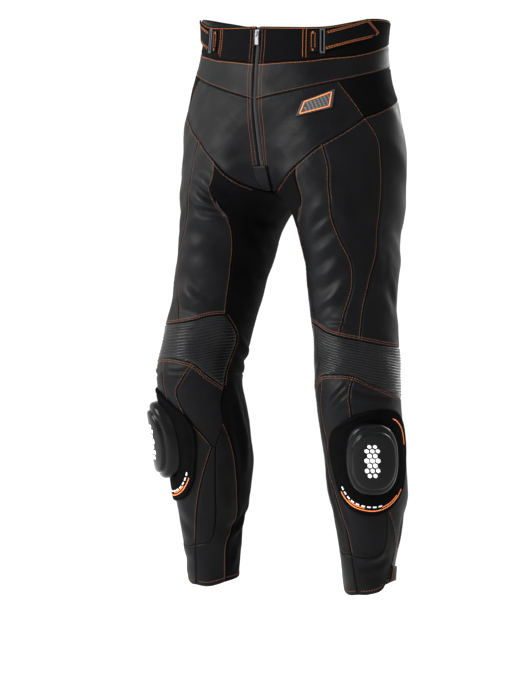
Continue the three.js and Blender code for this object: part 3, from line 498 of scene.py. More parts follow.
# ---- Cloth ---------------------------------------------------------------
EDGE_STEPS = (0, 0.6, 1.3, 2.2, 3.4, 5.2, 7.6)   # rows of points beside a seam, mm from it
SEAM_HALF = 1.2          # half width of the groove at a seam
TURNING = 7.5            # width of the allowance that lies folded under a seam
TURNING_HIGH = 0.4
PUCKER = 0.16            # height of the puckers that the stitches draw up
PUCKER_LONG = 9.0
RIB_ROWS = 8             # rows of points over one rib
RIB_SINK = 1.5           # how far the ribs' feet lie under the skin
RIB_FADE = 5.0


def true_length(side, line):
    p = skin(side, line[:, 0], line[:, 1])
    return np.linalg.norm(np.diff(p, axis=0), axis=1).sum()


def at_shares(side, line, shares):
    """Points of a line at shares of its true length."""
    p = skin(side, line[:, 0], line[:, 1])
    t = np.concatenate([[0], np.cumsum(np.linalg.norm(np.diff(p, axis=0), axis=1))])
    t /= max(t[-1], 1e-9)
    return np.stack([np.interp(shares, t, line[:, 0]), np.interp(shares, t, line[:, 1])], -1)


def shares_along(length, pitch):
    """Shares of a length, close together beside its two ends."""
    if length < 5 * EDGE_STEPS[-1]:
        return np.linspace(0, 1, max(round(length / 1.6), 2) + 1)
    edge = np.array(EDGE_STEPS)
    middle = np.linspace(edge[-1], length - edge[-1], max(round((length - 2 * edge[-1]) / pitch), 2) + 1)
    return np.concatenate([edge[:-1], middle, length - edge[-2::-1]]) / length


def coons(side, seams, u, v):
    """A four-sided patch between its seam lines. v is a column, or one for each u."""
    _, top, bottom, left, right = seams
    v = np.broadcast_to(v, (v.shape[0], len(u)))
    t, b = at_shares(side, top, u), at_shares(side, bottom, u)
    l, r = at_shares(side, left, v), at_shares(side, right, v)
    uu, vv = u[None, :, None], v[..., None]
    ends = (1 - uu) * ((1 - vv) * t[0] + vv * b[0]) + uu * ((1 - vv) * t[-1] + vv * b[-1])
    return (1 - vv) * t + vv * b + (1 - uu) * l + uu * r - ends


def run(points, axis):
    """Distance from the first point of each row (axis 1) or column (axis 0)."""
    steps = np.linalg.norm(np.diff(points, axis=axis), axis=-1)
    zero = np.zeros_like(steps[:, :1] if axis else steps[:1])
    return np.concatenate([zero, np.cumsum(steps, axis=axis)], axis=axis)


def panel_grid(side, seams, pitch, rib=0.0):
    """Angle and height of a panel's points. Ribs run level with its top seam."""
    _, top, bottom, left, right = seams
    u = shares_along(max(true_length(side, top), true_length(side, bottom)), pitch)
    v = shares_along(max(true_length(side, left), true_length(side, right)), pitch)[:, None]
    if rib:
        rough = coons(side, seams, u, np.linspace(0, 1, 24)[:, None])
        high = run(skin(side, rough[..., 0], rough[..., 1]), 0)[-1]
        step = rib / RIB_ROWS
        v = np.clip(np.arange(math.ceil(high.max() / step) + 1)[:, None] * step / high, 0, 1)
    return coons(side, seams, u, v)


def seam_relief(d, along, depth):
    """Height beside a seam: the groove, the folded allowance and its puckers."""
    groove = -depth * np.exp(-(d / SEAM_HALF) ** 2)
    allowance = TURNING_HIGH / (1 + np.exp((1.8 - d) / 0.45)) * np.exp(-(d / TURNING) ** 4)
    wave = np.sin(2 * math.pi * along / PUCKER_LONG + 2.5 * np.sin(along / 31))
    return groove + allowance + PUCKER * wave * np.exp(-((d - 4.2) / 2.4) ** 2)


def rib_round(down, rib):
    """Rounded top of each rib, from 0 in the fold between two ribs to 1."""
    return np.sqrt(np.clip(1 - (2 * ((down / rib) % 1) - 1) ** 2, 0, 1))


def rib_relief(bump, from_ends, height):
    fade = np.clip(from_ends / RIB_FADE, 0, 1)
    return height * bump * fade * (2 - fade) - RIB_SINK * np.clip(from_ends / 2, 0, 1)


def faces_of(rows, columns, collapsed=None):
    """Four-sided faces of a grid. collapsed marks points that repeat the one above."""
    index = np.arange(rows * columns).reshape(rows, columns)
    if collapsed is not None:
        for j in range(1, rows):
            index[j] = np.where(collapsed[j], index[j - 1], index[j])
    quads = np.stack([index[:-1, :-1], index[1:, :-1], index[1:, 1:], index[:-1, 1:]], -1).reshape(-1, 4)
    faces = []
    for quad in quads.tolist():
        kept = [q for k, q in enumerate(quad) if q != quad[k - 1]]
        if len(kept) > 2:
            faces.append(kept)
    return faces


def make_object(name, points, faces, uv=None, values=None, finish=(), outward_at=None):
    """A smooth mesh object from points in mm. outward_at is the way its first face looks."""
    used = np.unique(np.concatenate([np.array(f) for f in faces]))
    number = np.full(len(points), -1)
    number[used] = np.arange(len(used))
    faces = [[int(number[q]) for q in f] for f in faces]
    if outward_at is not None:
        a, b, c = (points[used[q]] for q in faces[len(faces) // 2][:3])
        if np.dot(np.cross(b - a, c - a), outward_at(used[faces[len(faces) // 2][0]])) < 0:
            faces = [f[::-1] for f in faces]
    mesh = bpy.data.meshes.new(name)
    mesh.from_pydata((points[used] * MM).tolist(), [], faces)
    if uv is not None:
        corners = np.array([q for f in faces for q in f])
        layer = mesh.uv_layers.new(name="cut")
        layer.data.foreach_set("uv", (uv[used][corners] * MM).astype(np.float32).ravel())
    for key, value in (values or {}).items():
        layer = mesh.attributes.new(key, "FLOAT", "POINT")
        layer.data.foreach_set("value", value[used].astype(np.float32))
    mesh.validate()
    mesh.polygons.foreach_set("use_smooth", [True] * len(mesh.polygons))
    for material in finish:
        mesh.materials.append(material)
    obj = bpy.data.objects.new(name, mesh)
    bpy.context.collection.objects.link(obj)
    return obj


def thicken(obj, thick, lining=True):
    """Gives a sheet its thickness, inwards from its outer face."""
    wall = obj.modifiers.new("thickness", "SOLIDIFY")
    wall.thickness, wall.offset = thick, -1
    if lining:
        wall.material_offset = 1
    return obj


def cloth_panel(node, side, seams, settings, halves=(None,)):
    """Makes one panel of the garment. One that crosses the back has two halves."""
    look = seams[0]
    rib = 0.0
    if look == RIBBED:
        rib = (settings.rib_pitch_right if side == RIGHT else settings.rib_pitch_left) / MM
    pitch = (2.9) if not rib else (3.0)
    parts = []
    for half in halves:
        at = half or side
        grid = panel_grid(at, seams, pitch, rib)
        parts.append((at, grid if half != RIGHT else grid[:, -2::-1]))
    smooth_points = np.concatenate([skin(at, g[..., 0], g[..., 1]) for at, g in parts], 1)
    left, up = run(smooth_points, 1), run(smooth_points, 0)
    right, down = left[:, -1:] - left, up[-1:] - up
    sides, ends = np.minimum(left, right), np.minimum(up, down)
    d = np.minimum(sides, ends)
    along = np.where(sides < ends, up, left)
    lift = seam_relief(d, along, settings.seam_depth / MM)
    collapsed = None
    # groove marks the seam grooves, which the finishes darken as painted shade.
    groove, rib_polish_and_highlight = np.exp(-(d / 1.7) ** 2), 0 * d
    if rib:
        wander = up + 0.35 * np.sin(left / 23.0) + 0.2 * np.sin(left / 7.9 + 2)
        bump = rib_round(wander, rib)
        lift += rib_relief(bump, np.minimum(sides, down), settings.rib_height / MM)
        # Ribs: painted shade in the folds between them, and on their tops lower roughness with a painted highlight.
        groove, rib_polish_and_highlight = np.maximum(groove, 1 - bump), 2 * bump
        collapsed = np.concatenate([np.zeros((1, up.shape[1]), bool), np.diff(up, axis=0) < 1e-6])
    points, bare, start = [], [], 0
    for at, g in parts:
        stop = start + g.shape[1]
        keep = 0.0 if len(parts) > 1 else MIDLINE_GAP
        points.append(on_skin(at, g[..., 0], g[..., 1], lift[:, start:stop], keep))
        bare.append(folds(at, g[..., 0], g[..., 1], settings.fold_strength))
        start = stop
    points, high = np.concatenate(points, 1), np.concatenate(bare, 1)
    rows, columns = high.shape
    normals = np.concatenate([outward(at, g[..., 0], g[..., 1]) for at, g in parts], 1).reshape(-1, 3)
    thick = settings.leather_thick if look == LEATHER else settings.stretch_thick
    # The crest value is the fold height: the leather finish lightens high folds as painted highlight and darkens
    # troughs as painted shade.
    obj = make_object(
        node + "_cloth", points.reshape(-1, 3), faces_of(rows, columns, collapsed),
        uv=np.stack([left, -up], -1).reshape(-1, 2),
        values={"groove": groove.ravel(), "crest": np.clip(high / 3 + rib_polish_and_highlight, -1, 2).ravel()},
        finish=(FINISHES[look](), FINISHES["lining"]()), outward_at=lambda k: normals[k])
    thicken(obj, thick)
    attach(obj, BODY)
    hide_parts(node)
    return obj


# ---- Stitching -----------------------------------------------------------
STITCH_SIDES = 5


def offset_line(side, line, offset, hint):
    """A line beside another on the skin. hint is the way it moves, in angle and height."""
    degree = mm_per_degree(side, line[:, 1])
    flat = np.stack([line[:, 0] * degree, line[:, 1]], -1)
    way = np.gradient(flat, axis=0)
    normal = np.stack([-way[:, 1], way[:, 0]], -1)
    normal /= np.maximum(np.linalg.norm(normal, axis=1, keepdims=True), 1e-9)
    if (normal @ np.array(hint)).sum() < 0:
        normal = -normal
    moved = line.astype(float).copy()
    moved[:, 0] += normal[:, 0] * offset / degree
    moved[:, 1] += normal[:, 1] * offset
    return moved


def stitch_ends(side, line, lift, length, gap, trim=1.5):
    """Ends of the stitches along a line, as two arrays of points, and their normals."""
    total = true_length(side, line)
    count = int((total - 2 * trim) / (length + gap))
    if count < 1:
        return np.zeros((0, 3)), np.zeros((0, 3)), np.zeros((0, 3))
    first = (trim + (length + gap) * np.arange(count)) / total
    a = at_shares(side, line, first)
    b = at_shares(side, line, first + length / total)
    mid = (a + b) / 2
    return (on_skin(side, a[:, 0], a[:, 1], lift), on_skin(side, b[:, 0], b[:, 1], lift),
            outward(side, mid[:, 0], mid[:, 1]))


def thread_mesh(name, starts, ends, normals, width, finish, slot):
    """One object of many short threads, each a rounded bar that lies on the skin."""
    starts, ends, normals = (np.concatenate(x) for x in (starts, ends, normals))
    way = ends - starts
    way /= np.linalg.norm(way, axis=1, keepdims=True)
    beside = np.cross(way, normals)
    beside /= np.linalg.norm(beside, axis=1, keepdims=True)
    turn = np.arange(STITCH_SIDES) * 2 * math.pi / STITCH_SIDES
    ring = (np.cos(turn)[None, :, None] * beside[:, None] * width / 2
            + np.sin(turn)[None, :, None] * normals[:, None] * width * 0.32)
    step = (ends - starts)[:, None]
    sunk = normals[:, None] * width * 0.35
    points = np.concatenate([
        starts[:, None] - sunk, starts[:, None] + step * 0.16 + ring,
        starts[:, None] + step * 0.84 + ring, ends[:, None] - sunk], axis=1)
    n, last = STITCH_SIDES, 2 * STITCH_SIDES + 1
    one = []
    for k in range(n):
        m = (k + 1) % n
        one += [[0, 1 + m, 1 + k], [1 + k, 1 + m, 1 + n + m, 1 + n + k], [last, 1 + n + k, 1 + n + m]]
    faces = [[q + base for q in f] for base in range(0, len(points) * (last + 1), last + 1) for f in one]
    middle = normals.repeat(last + 1, axis=0)
    obj = make_object(name, points.reshape(-1, 3), faces, finish=(finish,))
    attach(obj, BODY)
    return obj


# ---- Finishes ------------------------------------------------------------
class Finish:
    """A material under construction, with its main shader already joined up."""

    def __init__(self, name, colour, roughness, **fixed):
        self.material = bpy.data.materials.new(name)
        self.material.use_nodes = True
        self.material.diffuse_color = (*colour, 1)
        self.nodes, self.links = self.material.node_tree.nodes, self.material.node_tree.links
        self.shader = self.nodes["Principled BSDF"]
        self.colour, self.roughness = colour, roughness
        for key, value in fixed.items():
            self.shader.inputs[key.replace("_", " ")].default_value = value
        self.place = self.add("ShaderNodeTexCoord").outputs["Object"]

    def add(self, kind, inputs=None, **settings):
        """A node. An input is given as a number or as the socket that feeds it."""
        node = self.nodes.new(kind)
        for key, value in settings.items():
            setattr(node, key, value)
        for key, value in (inputs or {}).items():
            if isinstance(value, bpy.types.NodeSocket):
                self.links.new(value, node.inputs[key])
            else:
                node.inputs[key].default_value = value
        return node

    def noise(self, scale, detail=3.0, roughness=0.55, place=None):
        return self.add("ShaderNodeTexNoise", {"Vector": place or self.place, "Scale": scale,
                                               "Detail": detail, "Roughness": roughness}).outputs["Fac"]

    def cells(self, scale, place=None):
        return self.add("ShaderNodeTexVoronoi", {"Vector": place or self.place, "Scale": scale}).outputs["Distance"]

    def maths(self, operation, a, b):
        return self.add("ShaderNodeMath", {0: a, 1: b}, operation=operation).outputs[0]

    def spread(self, value, low, high, start=0.3, end=0.7):
        """A value from start to end turned into one from low to high."""
        return self.add("ShaderNodeMapRange", {"Value": value, "From Min": start, "From Max": end,
                                               "To Min": low, "To Max": high}).outputs["Result"]

    def blend(self, share, a, b):
        mix = self.add("ShaderNodeMix", data_type="RGBA")
        for key, value in ((0, share), (6, a), (7, b)):
            if isinstance(value, bpy.types.NodeSocket):
                self.links.new(value, mix.inputs[key])
            else:
                mix.inputs[key].default_value = value if key == 0 else (*value, 1)
        return mix.outputs[2]

    def attribute(self, name):
        return self.add("ShaderNodeAttribute", attribute_name=name).outputs["Fac"]

    def tones(self, share, low=0.75, high=1.3):
        """The finish's own colour, darker and lighter by turns."""
        return self.blend(share, tuple(c * low for c in self.colour), tuple(c * high for c in self.colour))

    def finish(self, colour, rough, bump, distance, strength=1.0):
        """Joins the colour, the roughness and the bump to the shader."""
        self.links.new(colour, self.shader.inputs["Base Color"])
        if isinstance(rough, bpy.types.NodeSocket):
            self.links.new(rough, self.shader.inputs["Roughness"])
        else:
            self.shader.inputs["Roughness"].default_value = rough
        node = self.add("ShaderNodeBump", {"Height": bump, "Distance": distance, "Strength": strength})
        self.links.new(node.outputs["Normal"], self.shader.inputs["Normal"])
        return self.material


def cowhide(name, colour, roughness, grain, shine=0.06):
    """Grained leather: mottled colour, fine pores, crests polished smoother with a painted highlight, and painted shade
    in fold troughs and seam grooves.
    """
    f = Finish(name, colour, roughness, Specular_IOR_Level=shine)
    mottle = f.noise(24, 5, 0.62)
    milled = f.noise(150, 3, 0.6)
    crest = f.attribute("crest")
    # Painted highlight on fold crests and painted shade in fold troughs, added to the mottled tone.
    tone = f.maths("ADD", f.spread(mottle, 0.1, 0.9), f.maths("MULTIPLY", crest, 0.28))
    tinted = f.tones(tone, 0.62, 1.45)
    # Painted shade: near-black colour in the seam grooves and between the ribs.
    groove = f.maths("MULTIPLY", f.attribute("groove"), 0.95)
    tinted = f.blend(groove, tinted, (0.002, 0.002, 0.002))
    rough = f.maths("SUBTRACT", f.spread(mottle, roughness - 0.06, roughness + 0.08),
                    f.maths("MULTIPLY", crest, 0.05))
    pores = f.spread(f.cells(720), 0.0, 1.0, 0.0, 0.75)
    height = f.maths("ADD", f.maths("MULTIPLY", pores, grain), f.maths("MULTIPLY", milled, 1.6))
    height = f.maths("ADD", height, f.maths("MULTIPLY", f.noise(1900, 2), 0.25))
    return f.finish(tinted, rough, height, 0.00022, 0.75)


def stretch_weave(name, colour, roughness, pitch):
    """Matt stretch cloth: fine ribs along the cut, with a little fuzz."""
    f = Finish(name, colour, roughness, Specular_IOR_Level=0.03)
    cut = f.add("ShaderNodeUVMap", uv_map="cut").outputs["UV"]
    bands = [f.add("ShaderNodeTexWave", {"Vector": cut, "Scale": scale, "Distortion": 0.6, "Detail": 1.0},
                   bands_direction=way).outputs["Fac"] for scale, way in ((pitch, "X"), (pitch * 0.7, "Y"))]
    woven = f.maths("MULTIPLY", *bands)
    patchy = f.noise(30, 4)
    tinted = f.tones(f.maths("ADD", f.maths("MULTIPLY", woven, 0.5), f.spread(patchy, 0, 0.5)), 0.5, 1.6)
    # Painted shade: near-black colour in the seam grooves.
    groove = f.maths("MULTIPLY", f.attribute("groove"), 0.95)
    tinted = f.blend(groove, tinted, (0.001, 0.001, 0.001))
    return f.finish(tinted, f.spread(patchy, roughness - 0.05, roughness + 0.06), woven, 0.00012, 0.8)


def woven_strap(name, colour, pitch):
    """Webbing and tape on plain coordinates: crossed threads."""
    f = Finish(name, colour, 0.8, Specular_IOR_Level=0.04)
    bands = [f.add("ShaderNodeTexWave", {"Vector": f.place, "Scale": scale, "Distortion": 0.4},
                   bands_direction=way).outputs["Fac"] for scale, way in ((pitch, "Z"), (pitch * 0.8, "DIAGONAL"))]
    woven = f.maths("MULTIPLY", *bands)
    return f.finish(f.tones(woven, 0.6, 1.7), f.spread(f.noise(60), 0.74, 0.88), woven, 0.0002)


def pile(name, colour):
    """Short loop pile, as on hook-and-loop cloth."""
    f = Finish(name, colour, 0.95, Specular_IOR_Level=0.02)
    loops = f.add("ShaderNodeTexVoronoi", {"Vector": f.place, "Scale": 1100.0}).outputs["Distance"]
    brushed = f.noise(70, 4)
    tinted = f.tones(f.maths("ADD", f.spread(brushed, 0, 0.6), f.maths("MULTIPLY", loops, 0.4)), 0.5, 1.6)
    return f.finish(tinted, f.spread(brushed, 0.86, 0.98), loops, 0.0003, 0.7)


def moulded(name, colour, roughness, scratch=0.06, **fixed):
    """Moulded plastic or rubber: a slight texture and faint rubbed marks."""
    f = Finish(name, colour, roughness, **fixed)
    rubbed = f.noise(45, 6, 0.7)
    lines = f.add("ShaderNodeMapping", {"Vector": f.place, "Scale": (900, 900, 60), "Rotation": (0.3, 0.5, 0.2)})
    marks = f.noise(1.0, 2, 0.5, lines.outputs["Vector"])
    rough = f.maths("ADD", f.spread(rubbed, roughness - scratch, roughness + scratch),
                    f.spread(marks, 0, scratch, 0.55, 0.75))
    return f.finish(f.tones(rubbed, 0.8, 1.25), rough, f.noise(520, 3), 0.00006, 0.5)


def spun(name, colour):
    """Sewing thread, twisted and slightly uneven in colour."""
    f = Finish(name, colour, 0.7, Specular_IOR_Level=0.15)
    twist = f.noise(2600, 2)
    return f.finish(f.tones(f.noise(110, 3), 0.7, 1.3), f.spread(twist, 0.5, 0.7), twist, 0.0001, 0.5)


def inked(name, colour):
    """Screen ink or a raised rubber print, slightly worn."""
    f = Finish(name, colour, 0.5)
    worn = f.noise(240, 5, 0.7)
    return f.finish(f.tones(worn, 0.85, 1.1), f.spread(worn, 0.42, 0.6), worn, 0.00005, 0.5)


def pale_floor(name, colour):
    f = Finish(name, colour, 0.8, Specular_IOR_Level=0.1)
    cloud = f.noise(1.4, 3)
    return f.finish(f.tones(cloud, 0.985, 1.01), 0.8, f.noise(60, 2), 0.0002, 0.2)


def settings_colour(key):
    return tuple(getattr(bpy.context.scene.trousers, key))


def once(name, build):
    """A finish that is made the first time it is asked for."""
    return lambda: bpy.data.materials.get(name) or build(name)


FINISHES = {
    LEATHER: once("satin_cowhide", lambda n: cowhide(n, settings_colour("leather_colour"), 0.46, 0.55)),
    RIBBED: once("soft_rib_leather", lambda n: cowhide(n, settings_colour("rib_colour"), 0.38, 0.25, 0.12)),
    STRETCH: once("matt_stretch", lambda n: stretch_weave(n, settings_colour("stretch_colour"), 0.82, 330)),
    "lining": once("mesh_lining", lambda n: moulded(n, (0.012, 0.012, 0.013), 0.75, Specular_IOR_Level=0.25)),
    "thread": once("body_thread", lambda n: spun(n, settings_colour("thread_colour"))),
    "bright_thread": once("band_thread", lambda n: spun(n, settings_colour("bright_thread_colour"))),
    "pad": once("loop_pile", lambda n: pile(n, (0.0016, 0.0016, 0.0018))),
    "slider": once("satin_slider_plastic", lambda n: moulded(n, (0.002, 0.0021, 0.0024), 0.2, Specular_IOR_Level=0.09)),
    "ring": once("ring_plastic", lambda n: moulded(n, (0.012, 0.012, 0.013), 0.4)),
    "webbing": once("black_webbing", lambda n: woven_strap(n, (0.0022, 0.0022, 0.0026), 420)),
    "tape": once("zip_tape", lambda n: woven_strap(n, (0.002, 0.002, 0.0022), 700)),
    "metal": once("grey_zip_metal", lambda n: moulded(n, (0.06, 0.06, 0.065), 0.4, 0.1, Metallic=0.5)),
    "tooth": once("dark_zip_metal", lambda n: moulded(n, (0.006, 0.006, 0.0065), 0.5, 0.08, Specular_IOR_Level=0.2)),
    "rubber": once("badge_rubber", lambda n: moulded(n, (0.004, 0.004, 0.0045), 0.5, Specular_IOR_Level=0.15)),
    "orange": once("orange_trim", lambda n: inked(n, settings_colour("trim_colour"))),
    "white": once("white_ink", lambda n: inked(n, (0.72, 0.72, 0.71))),
    "grey": once("grey_ink", lambda n: inked(n, (0.05, 0.051, 0.055))),
    "floor": once("pale_floor", lambda n: pale_floor(n, (0.97, 0.97, 0.97))),
}


# ---- Pieces that lie on the panels ---------------------------------------
LIFT = 0.7               # clearance under a piece that lies on a panel
STRAP_THICK = 2.4
STRAP_LIFT = LIFT + 0.6
TAB_THICK = 2.4
BADGE_THICK = 2.2
TAB_HALF = 14.0


STRAP_TOP = flat_line((41.5, -30), (56, -17), (70, -4))
STRAP_BOTTOM = flat_line((41.5, -63), (58, -48), (78, -33))
STRAP_END = flat_line((70, -4), (82.5, -23), (78, -33))
LOOP_TOP, LOOP_FOOT = flat_line((32, -31), (37.6, -30)), flat_line((32, -66), (37.6, -66))
ANKLE_TOP, ANKLE_FOOT = flat_line((90, -893), (124, -896)), flat_line((86, -920), (125, -921))
BADGE_TOP, BADGE_FOOT = flat_line((26, -147), (45, -124)), flat_line((22, -172), (42, -154))


def sides_of(top, foot, right=None):
    """The four seams of a flap from its top and foot."""
    return (None, top, foot, flat_line(top[0], foot[0]),
            right if right is not None else flat_line(top[-1], foot[-1]))


def flap(node, side, seams, thick, lift, look, crown=0.4):
    """A flat piece on the skin, with rounded edges and a slight crown."""
    grid = panel_grid(side, seams, 2.2)
    smooth_points = skin(side, grid[..., 0], grid[..., 1])
    left, up = run(smooth_points, 1), run(smooth_points, 0)
    d = np.minimum(np.minimum(left, left[:, -1:] - left), np.minimum(up, up[-1:] - up))
    high = lift + thick - 0.45 * thick * np.exp(-(d / 0.7) ** 2) + crown * np.clip(d / 8, 0, 1)
    angle, z = grid[..., 0], grid[..., 1]
    points = on_skin(side, angle, z, high)
    rows, columns = d.shape
    normals = outward(side, angle, z).reshape(-1, 3)
    # The groove value along the edges is painted shade in the leather finish.
    obj = make_object(node + "_piece", points.reshape(-1, 3), faces_of(rows, columns),
                      uv=np.stack([left, -up], -1).reshape(-1, 2),
                      values={"groove": 0.35 * np.exp(-(d / 1.0) ** 2).ravel(), "crest": 0 * d.ravel()},
                      finish=(FINISHES[look](),), outward_at=lambda k: normals[k])
    thicken(obj, (thick - 0.3) * MM, lining=False)
    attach(obj, BODY)
    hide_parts(node)
    return obj


def on_form(side, angle, z, lift):
    """Points over the smooth form, for stiff pieces that don't follow the folds."""
    return skin(side, angle, z) + outward(side, angle, z) * np.broadcast_to(lift, np.shape(z))[..., None]


def bead(name, paths, width, height, finish, closed=False):
    """Raised lines. Each path has its points and the way that each looks out."""
    section = ((-0.5, -0.6), (-0.42, 0.55), (0, 1.0), (0.42, 0.55), (0.5, -0.6))
    points, faces, base = [], [], 0
    for line, normals in paths:
        way = np.gradient(line, axis=0)
        if closed:
            way[0] = way[-1] = line[1] - line[-2]
        beside = np.cross(way, normals)
        beside /= np.linalg.norm(beside, axis=1, keepdims=True)
        rings = [line + beside * a * width + normals * b * height for a, b in section]
        points.append(np.stack(rings, 1).reshape(-1, 3))
        n, m = len(line), len(section)
        for k in range(n - 1):
            for s in range(m):
                t = (s + 1) % m
                faces.append([base + k * m + s, base + (k + 1) * m + s, base + (k + 1) * m + t, base + k * m + t])
        if not closed:
            faces.append([base + s for s in range(m)])
            faces.append([base + (n - 1) * m + s for s in reversed(range(m))])
        base += n * m
    obj = make_object(name, np.concatenate(points), faces, finish=(finish,))
    deselect()
    obj.select_set(True)
    bpy.context.view_layer.objects.active = obj
    bpy.ops.object.mode_set(mode="EDIT")
    bpy.ops.mesh.select_all(action="SELECT")
    bpy.ops.mesh.remove_doubles(threshold=1e-6)
    bpy.ops.mesh.normals_make_consistent(inside=False)
    bpy.ops.object.mode_set(mode="OBJECT")
    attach(obj, BODY)
    return obj


def deselect():
    """Nothing stays selected, so that an operator acts on its own piece alone."""
    for obj in list(bpy.context.selected_objects):
        obj.select_set(False)


def shaped(make, *steps):
    """A primitive shaped in edit mode. It gives back the points and the faces, and goes."""
    deselect()
    make()
    obj = bpy.context.active_object
    bpy.ops.object.mode_set(mode="EDIT")
    bpy.ops.mesh.select_all(action="SELECT")
    for step in steps:
        step()
    bpy.ops.object.mode_set(mode="OBJECT")
    points = np.array([v.co for v in obj.data.vertices])
    faces = [list(p.vertices) for p in obj.data.polygons]
    mesh = obj.data
    bpy.data.objects.remove(obj)
    bpy.data.meshes.remove(mesh)
    return points, faces


def copies(name, points, faces, finish, sharp=None):
    """One object of many copies of a small shape. points has one row a copy."""
    count, each = points.shape[:2]
    every = [[q + k * each for q in f] for k in range(count) for f in faces]
    obj = make_object(name, points.reshape(-1, 3), every, finish=(finish,))
    if sharp is not None:
        deselect()
        obj.select_set(True)
        bpy.context.view_layer.objects.active = obj
        bpy.ops.object.shade_smooth_by_angle(angle=sharp)
    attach(obj, BODY)
    return obj


# ---- Knee pads and sliders -----------------------------------------------
KNEE_ANGLE, KNEE_HEIGHT, KNEE_RADIUS = 42, -709, 76
PAD_MIDDLE = (42, -716)
PAD_OUTLINE = smooth([(42, -633), (66, -628), (88, -630), (102, -646), (107, -682), (98, -728), (85, -770),
                      (66, -796), (48, -806), (24, -806), (6, -798), (-9, -776), (-15, -748), (-18, -720),
                      (-18, -695), (-11, -671), (6, -655), (24, -642), (42, -633)])
PAD_TOP = LIFT + 0.6 + 4.5
SLIDER_BASE = PAD_TOP + 0.9
SLIDER_HALF_WIDTH, SLIDER_HALF_HEIGHT, SLIDER_LEAN = 49, 61, 0.12
SLIDER_SQUARE = 0.8      # 1 gives an oval, less gives squarer corners
SLIDER_POINTS = 96
# Each step of the slider: its share of the outline, and its height in mm.
SLIDER_STEPS = (
    (1.0, 0.0), (1.0, 3.0), (0.995, 8.5), (0.98, 11.2), (0.955, 13.2), (0.92, 14.5), (0.88, 15.2),
    (0.845, 15.4), (0.835, 15.8), (0.825, 18.6), (0.81, 20.2), (0.785, 21.2), (0.75, 21.8), (0.6, 22.8),
    (0.42, 23.5), (0.2, 23.9), (0.05, 24.0),
)
SLIDER_SHARES = np.array([s for s, _ in SLIDER_STEPS])
SLIDER_HEIGHTS = np.array([h for _, h in SLIDER_STEPS])
# Share of the pad's outline and height of each ring, from its edge inwards.
PAD_RINGS = (
    (0.996, -0.8), (1.0, 1.2), (1.0, 3.6), (0.992, 4.9), (0.978, 5.6), (0.955, 5.8), (0.93, 5.2), (0.915, 4.9),
    (0.895, 5.3), (0.87, 5.8), (0.8, 5.9), (0.72, 5.8), (0.6, 5.6), (0.4, 5.6), (0.2, 5.6), (0.04, 5.6),
)


def knee_place(out, up, lift):
    """Angle and height of a point of the slider, drawn across and up on the unrolled knee."""
    narrow = KNEE_RADIUS / (KNEE_RADIUS + lift)
    return KNEE_ANGLE + out * narrow / KNEE_RADIUS / RAD, KNEE_HEIGHT + up


def slider_lift(out, up):
    """Height of the slider's face over the skin at a point drawn across and up."""
    x = np.abs((out - SLIDER_LEAN * up) / SLIDER_HALF_WIDTH) ** (1 / SLIDER_SQUARE)
    y = np.abs(up / SLIDER_HALF_HEIGHT) ** (1 / SLIDER_SQUARE)
    share = (x * x + y * y) ** (SLIDER_SQUARE / 2)
    return SLIDER_BASE + np.interp(-share, -SLIDER_SHARES, SLIDER_HEIGHTS)


def step_up(before, after):
    """One step of the slider: the face is drawn out, then drawn in."""
    def step():
        bpy.ops.mesh.extrude_region_move(TRANSFORM_OT_translate={"value": (0, 0, after[1] - before[1])})
        bpy.ops.transform.resize(value=(after[0] / before[0], after[0] / before[0], 1))
    return step


def slider_shape():
    """The slider drawn flat on a round disc of radius 1."""
    steps = [step_up(a, b) for a, b in zip(SLIDER_STEPS, SLIDER_STEPS[1:])]
    return shaped(lambda: bpy.ops.mesh.primitive_circle_add(
        vertices=SLIDER_POINTS, radius=1, fill_type="NGON"), *steps, bpy.ops.mesh.poke)


def hexagon_shape():
    """A low hexagon of radius 1 with bevelled edges, standing on z = 0."""
    return shaped(
        lambda: bpy.ops.mesh.primitive_cylinder_add(vertices=6, radius=1, depth=1, location=(0, 0, 0.5)),
        lambda: bpy.ops.mesh.bevel(offset=0.12, segments=2))


def rounded(value):
    return np.sign(value) * np.abs(value) ** SLIDER_SQUARE


def ring_of(outline, middle, share):
    return np.array(middle) + (outline - np.array(middle)) * share


def outline_path(side, share, first, last, lift, count=60):
    """A stretch of the pad's outline drawn in by share, from first to last of its length."""
    line = ring_of(PAD_OUTLINE, PAD_MIDDLE, share)
    at = at_shares(side, line, np.linspace(first, last, count) % 1)
    return on_form(side, at[:, 0], at[:, 1], lift), outward(side, at[:, 0], at[:, 1])


# ---- Settings ------------------------------------------------------------
def size_property(name, description, value):
    return bpy.props.FloatProperty(name=name, description=description, default=value, min=0, unit="LENGTH",
                                   precision=4)


def colour_property(name, description, value):
    return bpy.props.FloatVectorProperty(name=name, description=description, default=value, size=3,
                                         min=0, max=1, subtype="COLOR")


